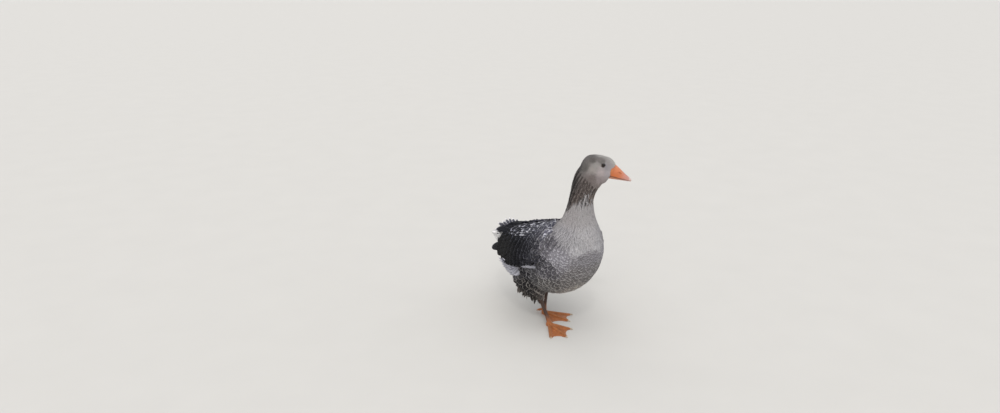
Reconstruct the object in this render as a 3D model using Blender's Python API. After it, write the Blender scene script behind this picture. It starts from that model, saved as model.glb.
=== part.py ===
"""A life-size standing domestic goose, heavy grey farm breed, as a still museum-style model.

Metres, +Z up, floor at Z = 0. The breast faces -Y, the bird's left side is +X. The body points
straight ahead while the neck turns and the head looks out to the bird's left. Run it with
    blender --background --python part.py
"""

import math

import bmesh
import bpy
import numpy as np
from mathutils import Matrix, Vector

# ---- driving dimensions, metres and degrees -------------------------------------------------
GAP = 0.0003  # clearance between pieces that touch
FORWARD_SHIFT = 0.0383  # puts the middle of the bird's length over the origin
HEAD_CENTRE = (0.0515, 0.147, 0.521)  # left, forward, up: the midline point level with the eyes
HEAD_YAW = 52.0  # turned to the bird's left
HEAD_PITCH = -14.0  # the bill points below level
EYE_RADIUS = 0.0080
EYE_PLACE = (-0.0008, 0.0217, -0.0022)  # ahead, from the midline and up, to an eyeball's centre
TOMIUM_RISE = -0.0288  # the closed mouth line, from the level of the eyes
NAIL_START = 0.0815  # along the head, where the nail at the bill's tip begins
RIGHT_FOOT = (-0.0385, 0.0350, 3.0)  # ankle: left, forward, turned out
LEFT_FOOT = (0.000, -0.040, 18.0)
RIGHT_HOCK = (-0.046, -0.002, 0.079)  # left, forward, up
LEFT_HOCK = (0.026, -0.062, 0.079)
ANKLE_HEIGHT = 0.0125
HEEL_RADIUS = 0.009
TOE_LENGTHS = (0.068, 0.089, 0.081)  # inner, middle and outer toe
TOE_TURNS = (-36.0, 0.0, 30.0)  # their directions, outwards from the middle toe
TOE_HALF_WIDTHS = (0.0058, 0.0036)  # at the ankle and at the claw
TOE_HEIGHTS = (0.0105, 0.0050)
WEB_THICK = 0.0022
WEB_HOLLOW = 0.009  # how far the web's edge is drawn back between two toes
CLAW_LENGTH = 0.0095
THIGH_CENTRE = (0.068, -0.034)  # outwards, forward
THIGH_TOP = 0.205
THIGH_SIZE = (0.038, 0.062)  # half width, half length
# From the top of the thigh to its cuff over the hock: share of the way down, share of the size.
THIGH_STATIONS = (
    (0.05, 0.36), (0.14, 0.62), (0.28, 0.86), (0.42, 0.97), (0.56, 1.00), (0.68, 0.95),
    (0.79, 0.80), (0.88, 0.60), (0.95, 0.41), (1.00, 0.24),
)

# Trunk, from the rump to the breast: the top of the section (forward, up), its bottom (forward,
# up) and its half width.
TRUNK_STATIONS = (
    (-0.180, 0.230, -0.195, 0.164, 0.042),
    (-0.145, 0.256, -0.168, 0.118, 0.077),
    (-0.095, 0.274, -0.092, 0.100, 0.099),
    (-0.045, 0.294, -0.024, 0.095, 0.111),
    (0.003, 0.310, 0.040, 0.103, 0.113),
    (0.036, 0.324, 0.095, 0.126, 0.1115),
    (0.054, 0.335, 0.133, 0.166, 0.104),
    (0.0625, 0.344, 0.157, 0.212, 0.093),
    (0.0675, 0.353, 0.165, 0.258, 0.081),
)
RUMP_END = (-0.207, 0.196)  # forward, up
# Neck: left, forward, up, turn, half width, half depth, tilt of the section towards the nape.
NECK_STATIONS = (
    (0.001, 0.1185, 0.331, 1.0, 0.065, 0.0560, 30.0),
    (0.003, 0.117, 0.357, 4.0, 0.050, 0.0472, 23.7),
    (0.0055, 0.1135, 0.384, 8.0, 0.040, 0.0396, 17.6),
    (0.008, 0.112, 0.411, 14.0, 0.035, 0.0352, 15.0),
    (0.0125, 0.1135, 0.438, 26.0, 0.0340, 0.0350, 15.0),
    (0.0196, 0.1184, 0.464, 38.0, 0.0335, 0.0386, 22.0),
    (0.0288, 0.1262, 0.486, 48.0, 0.0315, 0.0388, 36.0),
    (0.0350, 0.1310, 0.500, 52.0, 0.0220, 0.0270, 55.0),
)
# Head, from the back of the skull to the bill: along, half width, rise of its top and bottom
# from the level of the eyes.
HEAD_STATIONS = (
    (-0.0545, 0.0140, -0.0100, -0.0300),
    (-0.0490, 0.0215, 0.0030, -0.0400),
    (-0.0380, 0.0275, 0.0122, -0.0480),
    (-0.0180, 0.0315, 0.0178, -0.0545),
    (0.0000, 0.0307, 0.0190, -0.0585),
    (0.0150, 0.0262, 0.0182, -0.0585),
    (0.0270, 0.0203, 0.0125, -0.0530),
    (0.0370, 0.0172, 0.0045, -0.0430),
    (0.0450, 0.0160, -0.0010, -0.0380),
)
HEAD_END = (-0.0570, -0.0200)  # along, rise
WIDEST = 0.47  # share of the head's depth, from the top, at which it is widest
FACE_TOP = (0.0360, 0.0032)  # along, rise: where the feathers end on the culmen
FACE_LOW = (0.0262, -0.0365)  # and under the bill
# Upper half of the bill: along, half width, rise of the culmen from the level of the eyes.
BILL_STATIONS = (
    (0.0220, 0.0176, 0.0040),
    (0.0368, 0.0164, 0.0030),
    (0.0490, 0.0150, -0.0040),
    (0.0600, 0.0136, -0.0106),
    (0.0700, 0.0123, -0.0164),
    (0.0780, 0.0113, -0.0204),
    (0.0850, 0.0098, -0.0234),
    (0.0890, 0.0074, -0.0258),
)
BILL_END = (0.0918, -0.0292)
BILL_LOW_DEPTHS = (0.0110, 0.0030)  # depth of the lower half at its base and at its tip
# Folded wing, from the shoulder to the tip of the tertials. Each section is an arc over the side
# of the body: forward, then outwards and up for its upper edge, its bulge and its lower edge,
# then its thickness.
WING_STATIONS = (
    (0.096, 0.086, 0.312, 0.1035, 0.282, 0.1110, 0.250, 0.009),
    (0.064, 0.034, 0.342, 0.0990, 0.302, 0.1215, 0.224, 0.015),
    (0.010, 0.005, 0.325, 0.0950, 0.285, 0.1240, 0.206, 0.015),
    (-0.050, 0.004, 0.304, 0.0880, 0.270, 0.1190, 0.190, 0.014),
    (-0.110, 0.004, 0.284, 0.0735, 0.257, 0.1035, 0.176, 0.013),
    (-0.165, 0.007, 0.263, 0.0585, 0.241, 0.0850, 0.175, 0.010),
    (-0.205, 0.018, 0.242, 0.0520, 0.223, 0.0730, 0.177, 0.007),
)
WING_BACK = (-0.232, 0.040, 0.212)  # forward, outwards, up
# The long flight feathers that show beyond the wing: forward, outwards, up, half width, half depth.
WINGTIP_STATIONS = (
    (-0.150, 0.062, 0.212, 0.0060, 0.0260),
    (-0.190, 0.059, 0.203, 0.0052, 0.0230),
    (-0.222, 0.056, 0.191, 0.0040, 0.0170),
    (-0.248, 0.053, 0.178, 0.0028, 0.0100),
)
WINGTIP_END = (-0.266, 0.050, 0.168)
# Tail: forward, up, half width, half thickness.
TAIL_STATIONS = (
    (-0.150, 0.222, 0.034, 0.016),
    (-0.190, 0.222, 0.044, 0.011),
    (-0.230, 0.218, 0.053, 0.006),
    (-0.258, 0.215, 0.054, 0.0032),
    (-0.272, 0.213, 0.040, 0.0020),
)
TAIL_END = (-0.278, 0.2125)


# ---- places -----------------------------------------------------------------------------------
def place(left, forward, up):
    """A point given in the bird's own directions."""
    return Vector((left, -forward, up))


def head_axes():
    """Ahead, left and up in the head, as unit vectors."""
    yaw, pitch = math.radians(HEAD_YAW), math.radians(HEAD_PITCH)
    ahead = place(math.sin(yaw) * math.cos(pitch), math.cos(yaw) * math.cos(pitch), math.sin(pitch))
    left = place(math.cos(yaw), -math.sin(yaw), 0.0)
    return ahead, left, left.cross(ahead) * -1.0


def head_place(along, left, rise):
    """A point given in the head, from HEAD_CENTRE."""
    ahead, side, up = head_axes()
    return place(*HEAD_CENTRE) + ahead * along + side * left + up * rise


# ---- making meshes ----------------------------------------------------------------------------
def smooth_rows(rows, steps):
    """Rows on a Catmull-Rom curve through the given rows, with so many steps to each span."""
    rows = np.array(rows, float)
    padded = np.vstack([2 * rows[0] - rows[1], rows, 2 * rows[-1] - rows[-2]])
    found = []
    for i in range(1, len(padded) - 2):
        a, b, c, d = padded[i - 1 : i + 3]
        for step in range(steps):
            t = step / steps
            found.append(
                0.5 * (2 * b + (c - a) * t + (2 * a - 5 * b + 4 * c - d) * t**2
                       + (3 * b - a - 3 * c + d) * t**3)
            )
    found.append(rows[-1])
    return np.array(found)


def new_object(name, mesh_builder, finish):
    """An object in the goose collection whose mesh is a bmesh, with normals outwards."""
    bmesh.ops.recalc_face_normals(mesh_builder, faces=mesh_builder.faces)
    mesh = bpy.data.meshes.new(name)
    mesh_builder.to_mesh(mesh)
    mesh_builder.free()
    made = bpy.data.objects.new(name, mesh)
    goose.objects.link(made)
    mesh.materials.append(finish)
    mesh.shade_smooth()
    mesh.set_sharp_from_angle(angle=math.radians(50))
    return made


def loft(name, rings, finish, first_pole=None, last_pole=None):
    """A closed surface through rings of equal count, each end a fan to a pole or a flat cap."""
    builder = bmesh.new()
    layers = [[builder.verts.new(p) for p in ring] for ring in rings]
    count = len(layers[0])
    for lower, upper in zip(layers, layers[1:]):
        for i in range(count):
            j = (i + 1) % count
            builder.faces.new((lower[i], lower[j], upper[j], upper[i]))
    for ring, pole in ((layers[0], first_pole), (layers[-1], last_pole)):
        if pole is None:
            builder.faces.new(ring)
            continue
        tip = builder.verts.new(pole)
        for i in range(count):
            builder.faces.new((ring[i], ring[(i + 1) % count], tip))
    return new_object(name, builder, finish)


def oval_ring(centre, left, up, half_width, above, below, count):
    """A closed ring round centre, with its own height above and below."""
    ring = []
    for i in range(count):
        angle = 2 * math.pi * i / count
        across, rise = math.sin(angle), math.cos(angle)
        ring.append(centre + left * (half_width * across) + up * ((above if rise > 0 else below) * rise))
    return ring


def ball(name, centre, radius, finish):
    bpy.ops.mesh.primitive_uv_sphere_add(segments=16, ring_count=10, radius=radius, location=centre)
    made = bpy.context.object
    made.name = name
    made.data.name = name
    for collection in list(made.users_collection):
        collection.objects.unlink(made)
    goose.objects.link(made)
    made.data.materials.append(finish)
    made.data.shade_smooth()
    return made


def applied(piece):
    """Applies a piece's modifiers."""
    graph = bpy.context.evaluated_depsgraph_get()
    mesh = bpy.data.meshes.new_from_object(piece.evaluated_get(graph), depsgraph=graph)
    mesh.transform(piece.matrix_world)
    piece.modifiers.clear()
    piece.matrix_world.identity()
    piece.data = mesh
    return piece


def hidden_copy(source, name):
    cutter = source.copy()
    cutter.data = source.data.copy()
    cutter.name = name
    cutters.objects.link(cutter)
    cutter.hide_render = True
    cutter.display_type = "WIRE"
    return cutter


def grown(source, by):
    """A hidden copy of source, bigger all round by a distance, to cut its neighbours with."""
    cutter = hidden_copy(source, source.name + "_room")
    swell = cutter.modifiers.new("room", "DISPLACE")
    swell.mid_level = 0.0
    swell.strength = by
    return applied(cutter)


def joined(piece, other, operation):
    """piece with other added to it or cut from it by an exact Boolean."""
    change = piece.modifiers.new(operation.lower(), "BOOLEAN")
    change.operation = operation
    change.object = other
    change.solver = "EXACT"
    applied(piece)
    bpy.data.objects.remove(other)
    return piece


def make_room(piece, *neighbours):
    """Cuts the neighbours, with the usual gap, out of piece, and keeps its one large body."""
    for neighbour in neighbours:
        joined(piece, grown(neighbour, GAP), "DIFFERENCE")
    return keep_largest(piece)


def keep_largest(piece):
    """Removes the crumbs that a cut leaves, so that one closed body stays."""
    builder = bmesh.new()
    builder.from_mesh(piece.data)
    bmesh.ops.remove_doubles(builder, verts=builder.verts, dist=1e-6)
    waiting, bodies = set(builder.verts), []
    while waiting:
        body, edge = set(), [waiting.pop()]
        while edge:
            vertex = edge.pop()
            body.add(vertex)
            near = {link.other_vert(vertex) for link in vertex.link_edges} & waiting
            waiting -= near
            edge.extend(near)
        bodies.append(body)
    bodies.sort(key=len)
    for body in bodies[:-1]:
        bmesh.ops.delete(builder, geom=list(body), context="VERTS")
    builder.to_mesh(piece.data)
    builder.free()
    return piece


def cut_off(whole, name, point, normal, finish):
    """Parts whole at a plane: what lies on the normal's side becomes a new piece."""
    point, normal = Vector(point), Vector(normal).normalized()
    away = whole.copy()
    away.data = whole.data.copy()
    away.name = name
    away.data.name = name
    goose.objects.link(away)
    away.data.materials.clear()
    away.data.materials.append(finish)
    for piece, facing in ((away, normal), (whole, -normal)):
        builder = bmesh.new()
        builder.from_mesh(piece.data)
        everything = list(builder.verts) + list(builder.edges) + list(builder.faces)
        bmesh.ops.bisect_plane(
            builder, geom=everything, dist=1e-7, plane_co=point + facing * (GAP / 2),
            plane_no=facing, clear_inner=True,
        )
        open_edges = [edge for edge in builder.edges if edge.is_boundary]
        bmesh.ops.holes_fill(builder, edges=open_edges, sides=0)
        bmesh.ops.recalc_face_normals(builder, faces=builder.faces)
        builder.to_mesh(piece.data)
        builder.free()
    return away


def material(name, colour, roughness):
    made = bpy.data.materials.new(name)
    made.use_nodes = True
    shader = made.node_tree.nodes["Principled BSDF"]
    shader.inputs["Base Color"].default_value = (*colour, 1.0)
    shader.inputs["Roughness"].default_value = roughness
    shader.inputs["Metallic"].default_value = 0.0
    made.diffuse_color = (*colour, 1.0)
    return made


# ---- trunk, neck and head ---------------------------------------------------------------------
def trunk_and_neck():
    """One surface from the rump to the top of the neck. Each ring lies in its own tilted plane."""
    rows = []
    for top_forward, top_up, low_forward, low_up, half_width in TRUNK_STATIONS:
        reach, rise = (low_forward - top_forward) / 2, (top_up - low_up) / 2
        middle = (0.0, (top_forward + low_forward) / 2, (top_up + low_up) / 2)
        tilt = math.degrees(math.atan2(rise, reach))
        rows.append((*middle, 0.0, half_width, math.hypot(reach, rise), tilt))
    rows += NECK_STATIONS
    rings = []
    for left_by, forward, up, turn, half_width, half_depth, tilt in smooth_rows(rows, 2):
        turn, tilt = math.radians(turn), math.radians(tilt)
        left = place(math.cos(turn), -math.sin(turn), 0.0)
        ahead = place(math.sin(turn), math.cos(turn), 0.0)
        nape = ahead * -math.cos(tilt) + Vector((0.0, 0.0, math.sin(tilt)))
        rings.append(oval_ring(place(left_by, forward, up), left, nape, half_width, half_depth, half_depth,
                               count=26))
    return loft("trunk", rings, coat_light, first_pole=place(0.0, *RUMP_END))


def skull():
    rings = []
    _, left, up = head_axes()
    for along, half_width, top, bottom in smooth_rows(HEAD_STATIONS, 2):
        middle = top + (bottom - top) * WIDEST
        centre = head_place(along, 0.0, middle)
        rings.append(oval_ring(centre, left, up, half_width, top - middle, middle - bottom, count=20))
    made = loft("skull", rings, coat_dark, first_pole=head_place(HEAD_END[0], 0.0, HEAD_END[1]))
    bpy.data.objects.remove(cut_off(made, "face_waste", *face_plane(), coat_dark))
    return made


def face_plane():
    """The sloping plane where the feathers of the face end and the bill begins."""
    ahead, side, _ = head_axes()
    top, low = head_place(FACE_TOP[0], 0.0, FACE_TOP[1]), head_place(FACE_LOW[0], 0.0, FACE_LOW[1])
    normal = side.cross(top - low).normalized()
    if normal.dot(ahead) < 0:
        normal.negate()
    return top, normal


def part_flesh():
    """The trunk, neck and head in one, then parted where the plumage changes."""
    flesh = trunk_and_neck()
    joined(flesh, skull(), "UNION")
    keep_largest(flesh)
    whole = hidden_copy(flesh, "whole_body")
    ahead, _, up = head_axes()
    head = cut_off(flesh, "head", head_place(-0.036, 0.0, -0.040), ahead * 0.55 + up * 0.84, coat_dark)
    cut_off(flesh, "neck_upper", place(0.008, 0.112, 0.412), place(0.0, -0.22, 0.97), coat_dark)
    cut_off(flesh, "neck_lower", place(0.0, 0.118, 0.331), place(0.0, 0.50, 0.866), coat_pale)
    cut_off(flesh, "breast", place(0.0, 0.066, 0.225), place(0.0, 0.958, 0.286), coat_pale)
    cut_off(flesh, "rump", place(0.0, -0.128, 0.180), place(0.0, -1.0, 0.05), coat_white)
    return whole, head


def bill():
    """Upper and lower halves and the nail, cut to the slope of the face."""
    ahead, side, up = head_axes()
    rings = []
    for along, half_width, rise in BILL_STATIONS:
        centre = head_place(along, 0.0, TOMIUM_RISE + GAP)
        rings.append(oval_ring(centre, side, up, half_width, rise - TOMIUM_RISE, 0.0, count=20))
    upper = loft("bill_upper", rings, bill_orange, last_pole=head_place(BILL_END[0], 0.0, BILL_END[1]))
    rings = []
    first, last = BILL_STATIONS[0][0], BILL_STATIONS[-1][0]
    for along, half_width, _ in BILL_STATIONS:
        share = (along - first) / (last - first)
        depth = BILL_LOW_DEPTHS[0] * (1 - share) + BILL_LOW_DEPTHS[1] * share
        centre = head_place(along, 0.0, TOMIUM_RISE)
        rings.append(oval_ring(centre, side, up, half_width * 0.95, 0.0, depth, count=20))
    end = head_place(BILL_END[0] - 0.0016, 0.0, TOMIUM_RISE - 0.001)
    lower = loft("bill_lower", rings, bill_orange, last_pole=end)
    top, normal = face_plane()
    for piece in (upper, lower):
        waste = cut_off(piece, "bill_waste", top + normal * GAP, -normal, bill_orange)
        bpy.data.objects.remove(waste)
    cut_off(upper, "bill_nail", head_place(NAIL_START, 0.0, TOMIUM_RISE), ahead, nail_pale)


# ---- wings and tail ---------------------------------------------------------------------------
def arc_through(first, middle, last, count):
    """Points on the parabola through three points."""
    bend = middle * 2 - (first + last) / 2
    points = []
    for i in range(count):
        t = i / (count - 1)
        points.append(first * (1 - t) ** 2 + bend * (2 * t * (1 - t)) + last * t**2)
    return points


def wing(name, side, body):
    """A folded wing: a shell over the side of the body, thin at its edges."""
    count = 9
    rings = []
    for row in smooth_rows(WING_STATIONS, 2):
        forward, thick = row[0], row[7]
        ends = [place(side * row[i], forward, row[i + 1]) for i in (1, 3, 5)]
        arc = arc_through(*ends, count)
        outer, inner = [], []
        for i, point in enumerate(arc):
            along = arc[min(i + 1, count - 1)] - arc[max(i - 1, 0)]
            out = Vector((along.z, 0.0, -along.x)).normalized()
            if out.x * side < 0:
                out.negate()
            share = math.sin(math.pi * (0.06 + 0.88 * i / (count - 1))) ** 0.5
            outer.append(point + out * (thick * 0.35 * share))
            inner.append(point - out * (thick * 0.65 * share))
        rings.append(outer + inner[::-1])
    back = place(side * WING_BACK[1], WING_BACK[0], WING_BACK[2])
    made = loft(name, rings, coat_slate, last_pole=back)
    return make_room(made, *body)


def wingtip(name, side, neighbours):
    rings = []
    for forward, outwards, up_by, half_width, half_depth in smooth_rows(WINGTIP_STATIONS, 2):
        centre = place(side * outwards, forward, up_by)
        rings.append(oval_ring(centre, Vector((1, 0, 0)), Vector((0, 0, 1)), half_width, half_depth,
                               half_depth, count=14))
    end = place(side * WINGTIP_END[1], WINGTIP_END[0], WINGTIP_END[2])
    return make_room(loft(name, rings, coat_slate, last_pole=end), *neighbours)


def tail(neighbours):
    rings = []
    for forward, up_by, half_width, half_thick in smooth_rows(TAIL_STATIONS, 2):
        centre = place(0.0, forward, up_by)
        rings.append(oval_ring(centre, Vector((1, 0, 0)), Vector((0, 0, 1)), half_width, half_thick,
                               half_thick, count=16))
    end = place(0.0, TAIL_END[0], TAIL_END[1])
    return make_room(loft("tail", rings, coat_white, last_pole=end), *neighbours)


# ---- legs and feet ----------------------------------------------------------------------------
def rod_rings(stations, count=10):
    """Round rings square to the line through (point, radius) stations."""
    rings = []
    for i, (centre, radius) in enumerate(stations):
        before, after = stations[max(i - 1, 0)][0], stations[min(i + 1, len(stations) - 1)][0]
        line = (after - before).normalized()
        left = line.cross(Vector((0.0, 1.0, 0.0))).normalized()
        rings.append(oval_ring(centre, left, line.cross(left), radius, radius, radius, count=count))
    return rings


def thigh(name, side, hock, body):
    """The feathered thigh against the flank, drawn out to a cuff just over the hock."""
    outwards, forward = THIGH_CENTRE
    half_width, half_length = THIGH_SIZE
    top, cuff = place(side * outwards, forward, THIGH_TOP), place(*hock)
    rings = []
    for down, size in THIGH_STATIONS:
        drawn = max(0.0, (down - 0.5) / 0.5) ** 2
        middle = place(side * outwards, forward, THIGH_TOP + (cuff.z - THIGH_TOP) * down)
        middle.x += (cuff.x - middle.x) * drawn
        middle.y += (cuff.y - middle.y) * drawn
        rings.append(oval_ring(middle, Vector((1, 0, 0)), Vector((0, 1, 0)), half_width * size,
                               half_length * size, half_length * size, count=18))
    made = loft(name, rings, coat_dark, first_pole=top)
    return make_room(made, *body)


def shank(name, hock, ankle):
    """The bare leg from the knob of the hock to the ankle."""
    top, bottom = place(*hock), place(ankle[0], ankle[1], ANKLE_HEIGHT)
    shape = ((-0.10, 0.0062), (0.00, 0.0080), (0.10, 0.0078), (0.24, 0.0058), (0.50, 0.0052),
             (0.78, 0.0054), (0.92, 0.0066), (1.02, 0.0072), (1.10, 0.0060))
    stations = [(top.lerp(bottom, share), radius) for share, radius in shape]
    return loft(name, rod_rings(stations), leg_orange)


def web_reach(turn):
    """How far the foot reaches from the ankle in a direction given in degrees."""
    tips = [Vector((length * math.cos(math.radians(a)), length * math.sin(math.radians(a))))
            for length, a in zip(TOE_LENGTHS, TOE_TURNS)]
    for length, toe_turn in zip(TOE_LENGTHS, TOE_TURNS):
        if abs(turn - toe_turn) <= 3.0:
            return length / math.cos(math.radians(turn - toe_turn))
    ray = Vector((math.cos(math.radians(turn)), math.sin(math.radians(turn))))
    for low, high, a, b in zip(TOE_TURNS, TOE_TURNS[1:], tips, tips[1:]):
        if low < turn < high:
            edge = b - a
            reach = a.cross(edge) / ray.cross(edge)
            share = (turn - low) / (high - low)
            return reach - WEB_HOLLOW * 4 * share * (1 - share)
    side_toe = 0 if turn < TOE_TURNS[0] else 2
    beyond = abs(turn - TOE_TURNS[side_toe])
    half_width = TOE_HALF_WIDTHS[1] + (TOE_HALF_WIDTHS[0] - TOE_HALF_WIDTHS[1]) * 0.3
    return max(HEEL_RADIUS, min(TOE_LENGTHS[side_toe], half_width / math.sin(math.radians(min(beyond, 90)))))


def foot_height(turn, reach):
    """Height of the top of the foot at a direction in degrees and a distance from the ankle."""
    height = WEB_THICK
    for length, toe_turn in zip(TOE_LENGTHS, TOE_TURNS):
        if abs(turn - toe_turn) > 80:
            continue
        share = min(reach / length, 1.0)
        half_width = TOE_HALF_WIDTHS[0] * (1 - share) + TOE_HALF_WIDTHS[1] * share
        tall = TOE_HEIGHTS[0] * (1 - share) + TOE_HEIGHTS[1] * share
        off = reach * abs(math.sin(math.radians(turn - toe_turn))) / (half_width * 1.35)
        if off < 1:
            height = max(height, WEB_THICK + (tall - WEB_THICK) * (1 - off * off))
    dome = max(0.0, 1 - (reach / (HEEL_RADIUS * 1.5)) ** 2)
    return max(height, ANKLE_HEIGHT * math.sqrt(dome))


def foot(name, side, ankle):
    """Three toes and their webs as one sheet with a flat sole on the floor."""
    left_by, forward, turned_out = ankle
    turns = []
    for toe_turn in TOE_TURNS:
        turns += [toe_turn + d for d in (-7.5, -3.0, 0.0, 3.0, 7.5)]
    turns += [TOE_TURNS[0] - d for d in (13.0, 30.0, 60.0, 95.0)]
    turns += [TOE_TURNS[2] + d for d in (13.0, 30.0, 60.0, 95.0)]
    turns += [-16.0, 15.0, 180.0]
    turns.sort()
    shares = (0.10, 0.22, 0.40, 0.60, 0.80, 1.0)
    builder = bmesh.new()
    outs = math.radians(turned_out)

    def spot(turn, reach, height):
        angle = math.radians(turn)
        ahead, out = reach * math.cos(angle), reach * math.sin(angle)
        along = ahead * math.cos(outs) - out * math.sin(outs)
        across = ahead * math.sin(outs) + out * math.cos(outs)
        return place(left_by + side * across, forward + along, height)

    grids = []
    for top in (True, False):
        centre = builder.verts.new(spot(0.0, 0.0, ANKLE_HEIGHT if top else 0.0))
        fans = []
        for turn in turns:
            reach = web_reach(turn)
            fans.append([builder.verts.new(spot(turn, reach * s, foot_height(turn, reach * s) if top else 0.0))
                         for s in shares])
        for i, fan in enumerate(fans):
            other = fans[(i + 1) % len(fans)]
            builder.faces.new((centre, fan[0], other[0]))
            for k in range(len(shares) - 1):
                builder.faces.new((fan[k], fan[k + 1], other[k + 1], other[k]))
        grids.append(fans)
    for i in range(len(turns)):
        j = (i + 1) % len(turns)
        builder.faces.new((grids[0][i][-1], grids[0][j][-1], grids[1][j][-1], grids[1][i][-1]))
    made = new_object(name, builder, leg_orange)
    for toe, length, toe_turn in zip(("inner", "middle", "outer"), TOE_LENGTHS, TOE_TURNS):
        curve = ((0.0, 0.0021, 0.0026), (0.35, 0.0020, 0.0024), (0.7, 0.0014, 0.0019))
        rings = []
        ahead = (spot(toe_turn, 1.0, 0.0) - spot(toe_turn, 0.0, 0.0)).normalized()
        across = ahead.cross(Vector((0.0, 0.0, 1.0)))
        for share, radius, height in curve:
            centre = spot(toe_turn, length + GAP + share * CLAW_LENGTH, height)
            rings.append(oval_ring(centre, across, Vector((0, 0, 1)), radius, radius, radius * 0.9, count=10))
        tip = spot(toe_turn, length + CLAW_LENGTH, 0.0008)
        loft(name.replace("foot", "claw_" + toe), rings, claw_horn, last_pole=tip)
    return made


def hind_toe(name, side, ankle, neighbours):
    """The small raised toe behind the ankle, with its claw."""
    left_by, forward, _ = ankle
    start = place(left_by - side * 0.001, forward - 0.001, 0.0165)
    end = place(left_by - side * 0.010, forward - 0.021, 0.0068)
    stations = [(start.lerp(end, share), radius)
                for share, radius in ((0.0, 0.0038), (0.4, 0.0036), (0.8, 0.0034), (1.0, 0.0026))]
    made = loft(name, rod_rings(stations, count=12), leg_orange, last_pole=start.lerp(end, 1.06))
    make_room(made, *neighbours)
    point = (end - start).normalized()
    rings = rod_rings([(end, 0.0019), (end + point * 0.003, 0.0016), (end + point * 0.005, 0.0010)], count=8)
    claw = loft(name.replace("toe", "claw"), rings, claw_horn,
                last_pole=end + point * 0.0075 + Vector((0.0, 0.0, -0.001)))
    return make_room(claw, made)


def main():
    whole, head = part_flesh()
    bill()
    for side_name, side in (("left", 1.0), ("right", -1.0)):
        eye = ball("eye_" + side_name, head_place(EYE_PLACE[0], side * EYE_PLACE[1], EYE_PLACE[2]), EYE_RADIUS, eye_dark)
        joined(head, grown(eye, GAP), "DIFFERENCE")
    keep_largest(head)
    tail_piece = tail((whole,))
    for side_name, side, ankle, hock in (
        ("left", 1.0, LEFT_FOOT, LEFT_HOCK), ("right", -1.0, RIGHT_FOOT, RIGHT_HOCK)
    ):
        wing_piece = wing("wing_" + side_name, side, (whole, tail_piece))
        wingtip("wingtip_" + side_name, side, (whole, tail_piece, wing_piece))
        thigh_piece = thigh("thigh_" + side_name, side, hock, (whole, wing_piece))
        foot_piece = foot("foot_" + side_name, side, ankle)
        shank_piece = shank("shank_" + side_name, hock, ankle)
        make_room(shank_piece, foot_piece, thigh_piece, whole)
        hind_toe("hind_toe_" + side_name, side, ankle, (foot_piece, shank_piece))
    bpy.data.objects.remove(whole)
    for piece in goose.objects:
        piece.data.transform(Matrix.Translation((0.0, -FORWARD_SHIFT, 0.0)))


for old in list(bpy.data.objects):
    bpy.data.objects.remove(old)
goose = bpy.data.collections.new("domestic_goose")
cutters = bpy.data.collections.new("cutters")
bpy.context.scene.collection.children.link(goose)
bpy.context.scene.collection.children.link(cutters)
coat_pale = material("pale_grey_plumage", (0.42, 0.40, 0.38), 0.8)
coat_light = material("mid_grey_plumage", (0.25, 0.24, 0.24), 0.8)
coat_dark = material("brown_grey_plumage", (0.13, 0.11, 0.10), 0.8)
coat_slate = material("slate_wing_plumage", (0.055, 0.058, 0.07), 0.75)
coat_white = material("white_plumage", (0.70, 0.70, 0.69), 0.8)
bill_orange = material("orange_bill", (0.80, 0.22, 0.05), 0.4)
nail_pale = material("pale_bill_nail", (0.75, 0.60, 0.52), 0.35)
leg_orange = material("orange_leg_skin", (0.62, 0.19, 0.05), 0.5)
claw_horn = material("horn_claws", (0.10, 0.07, 0.05), 0.4)
eye_dark = material("dark_brown_eye", (0.02, 0.012, 0.008), 0.05)
main()
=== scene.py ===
import math
import time
from functools import partial

import bpy
import numpy as np
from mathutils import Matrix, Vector
from mathutils.bvhtree import BVHTree
from mathutils.kdtree import KDTree


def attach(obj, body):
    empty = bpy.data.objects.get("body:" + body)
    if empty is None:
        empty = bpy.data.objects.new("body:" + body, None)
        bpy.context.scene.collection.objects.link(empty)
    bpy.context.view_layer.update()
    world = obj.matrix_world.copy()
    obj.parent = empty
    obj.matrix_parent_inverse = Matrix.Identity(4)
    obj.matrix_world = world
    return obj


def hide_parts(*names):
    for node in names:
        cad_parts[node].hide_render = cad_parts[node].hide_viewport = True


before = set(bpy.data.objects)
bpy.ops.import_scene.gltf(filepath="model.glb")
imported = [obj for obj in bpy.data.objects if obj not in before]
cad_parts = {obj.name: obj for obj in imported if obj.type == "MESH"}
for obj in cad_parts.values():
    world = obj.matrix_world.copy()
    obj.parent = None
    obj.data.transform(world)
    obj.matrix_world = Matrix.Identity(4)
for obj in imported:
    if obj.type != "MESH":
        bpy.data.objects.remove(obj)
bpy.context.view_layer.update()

startTime = time.time()
mm = 0.001


def say(stage):
    print(f"{time.time() - startTime:6.1f} s  {stage}")


# small helpers

def linear(hexColour):
    parts = [int(hexColour[i : i + 2], 16) / 255 for i in (0, 2, 4)]
    return tuple(c / 12.92 if c <= 0.04045 else ((c + 0.055) / 1.055) ** 2.4 for c in parts) + (1.0,)


def addNode(tree, kind, inputs=(), output=0, **settings):
    node = tree.nodes.new("ShaderNode" + kind)
    for key, value in settings.items():
        setattr(node, key, value)
    for key, value in inputs.items() if isinstance(inputs, dict) else enumerate(inputs):
        if isinstance(value, bpy.types.NodeSocket):
            tree.links.new(value, node.inputs[key])
        else:
            node.inputs[key].default_value = value
    return node.outputs[output] if len(node.outputs) else node


def newMaterial(name):
    # gives the material, and addNode tied to its tree
    material = bpy.data.materials.new(name)
    material.use_nodes = True
    material.node_tree.nodes.clear()
    return material, partial(addNode, material.node_tree)


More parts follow.
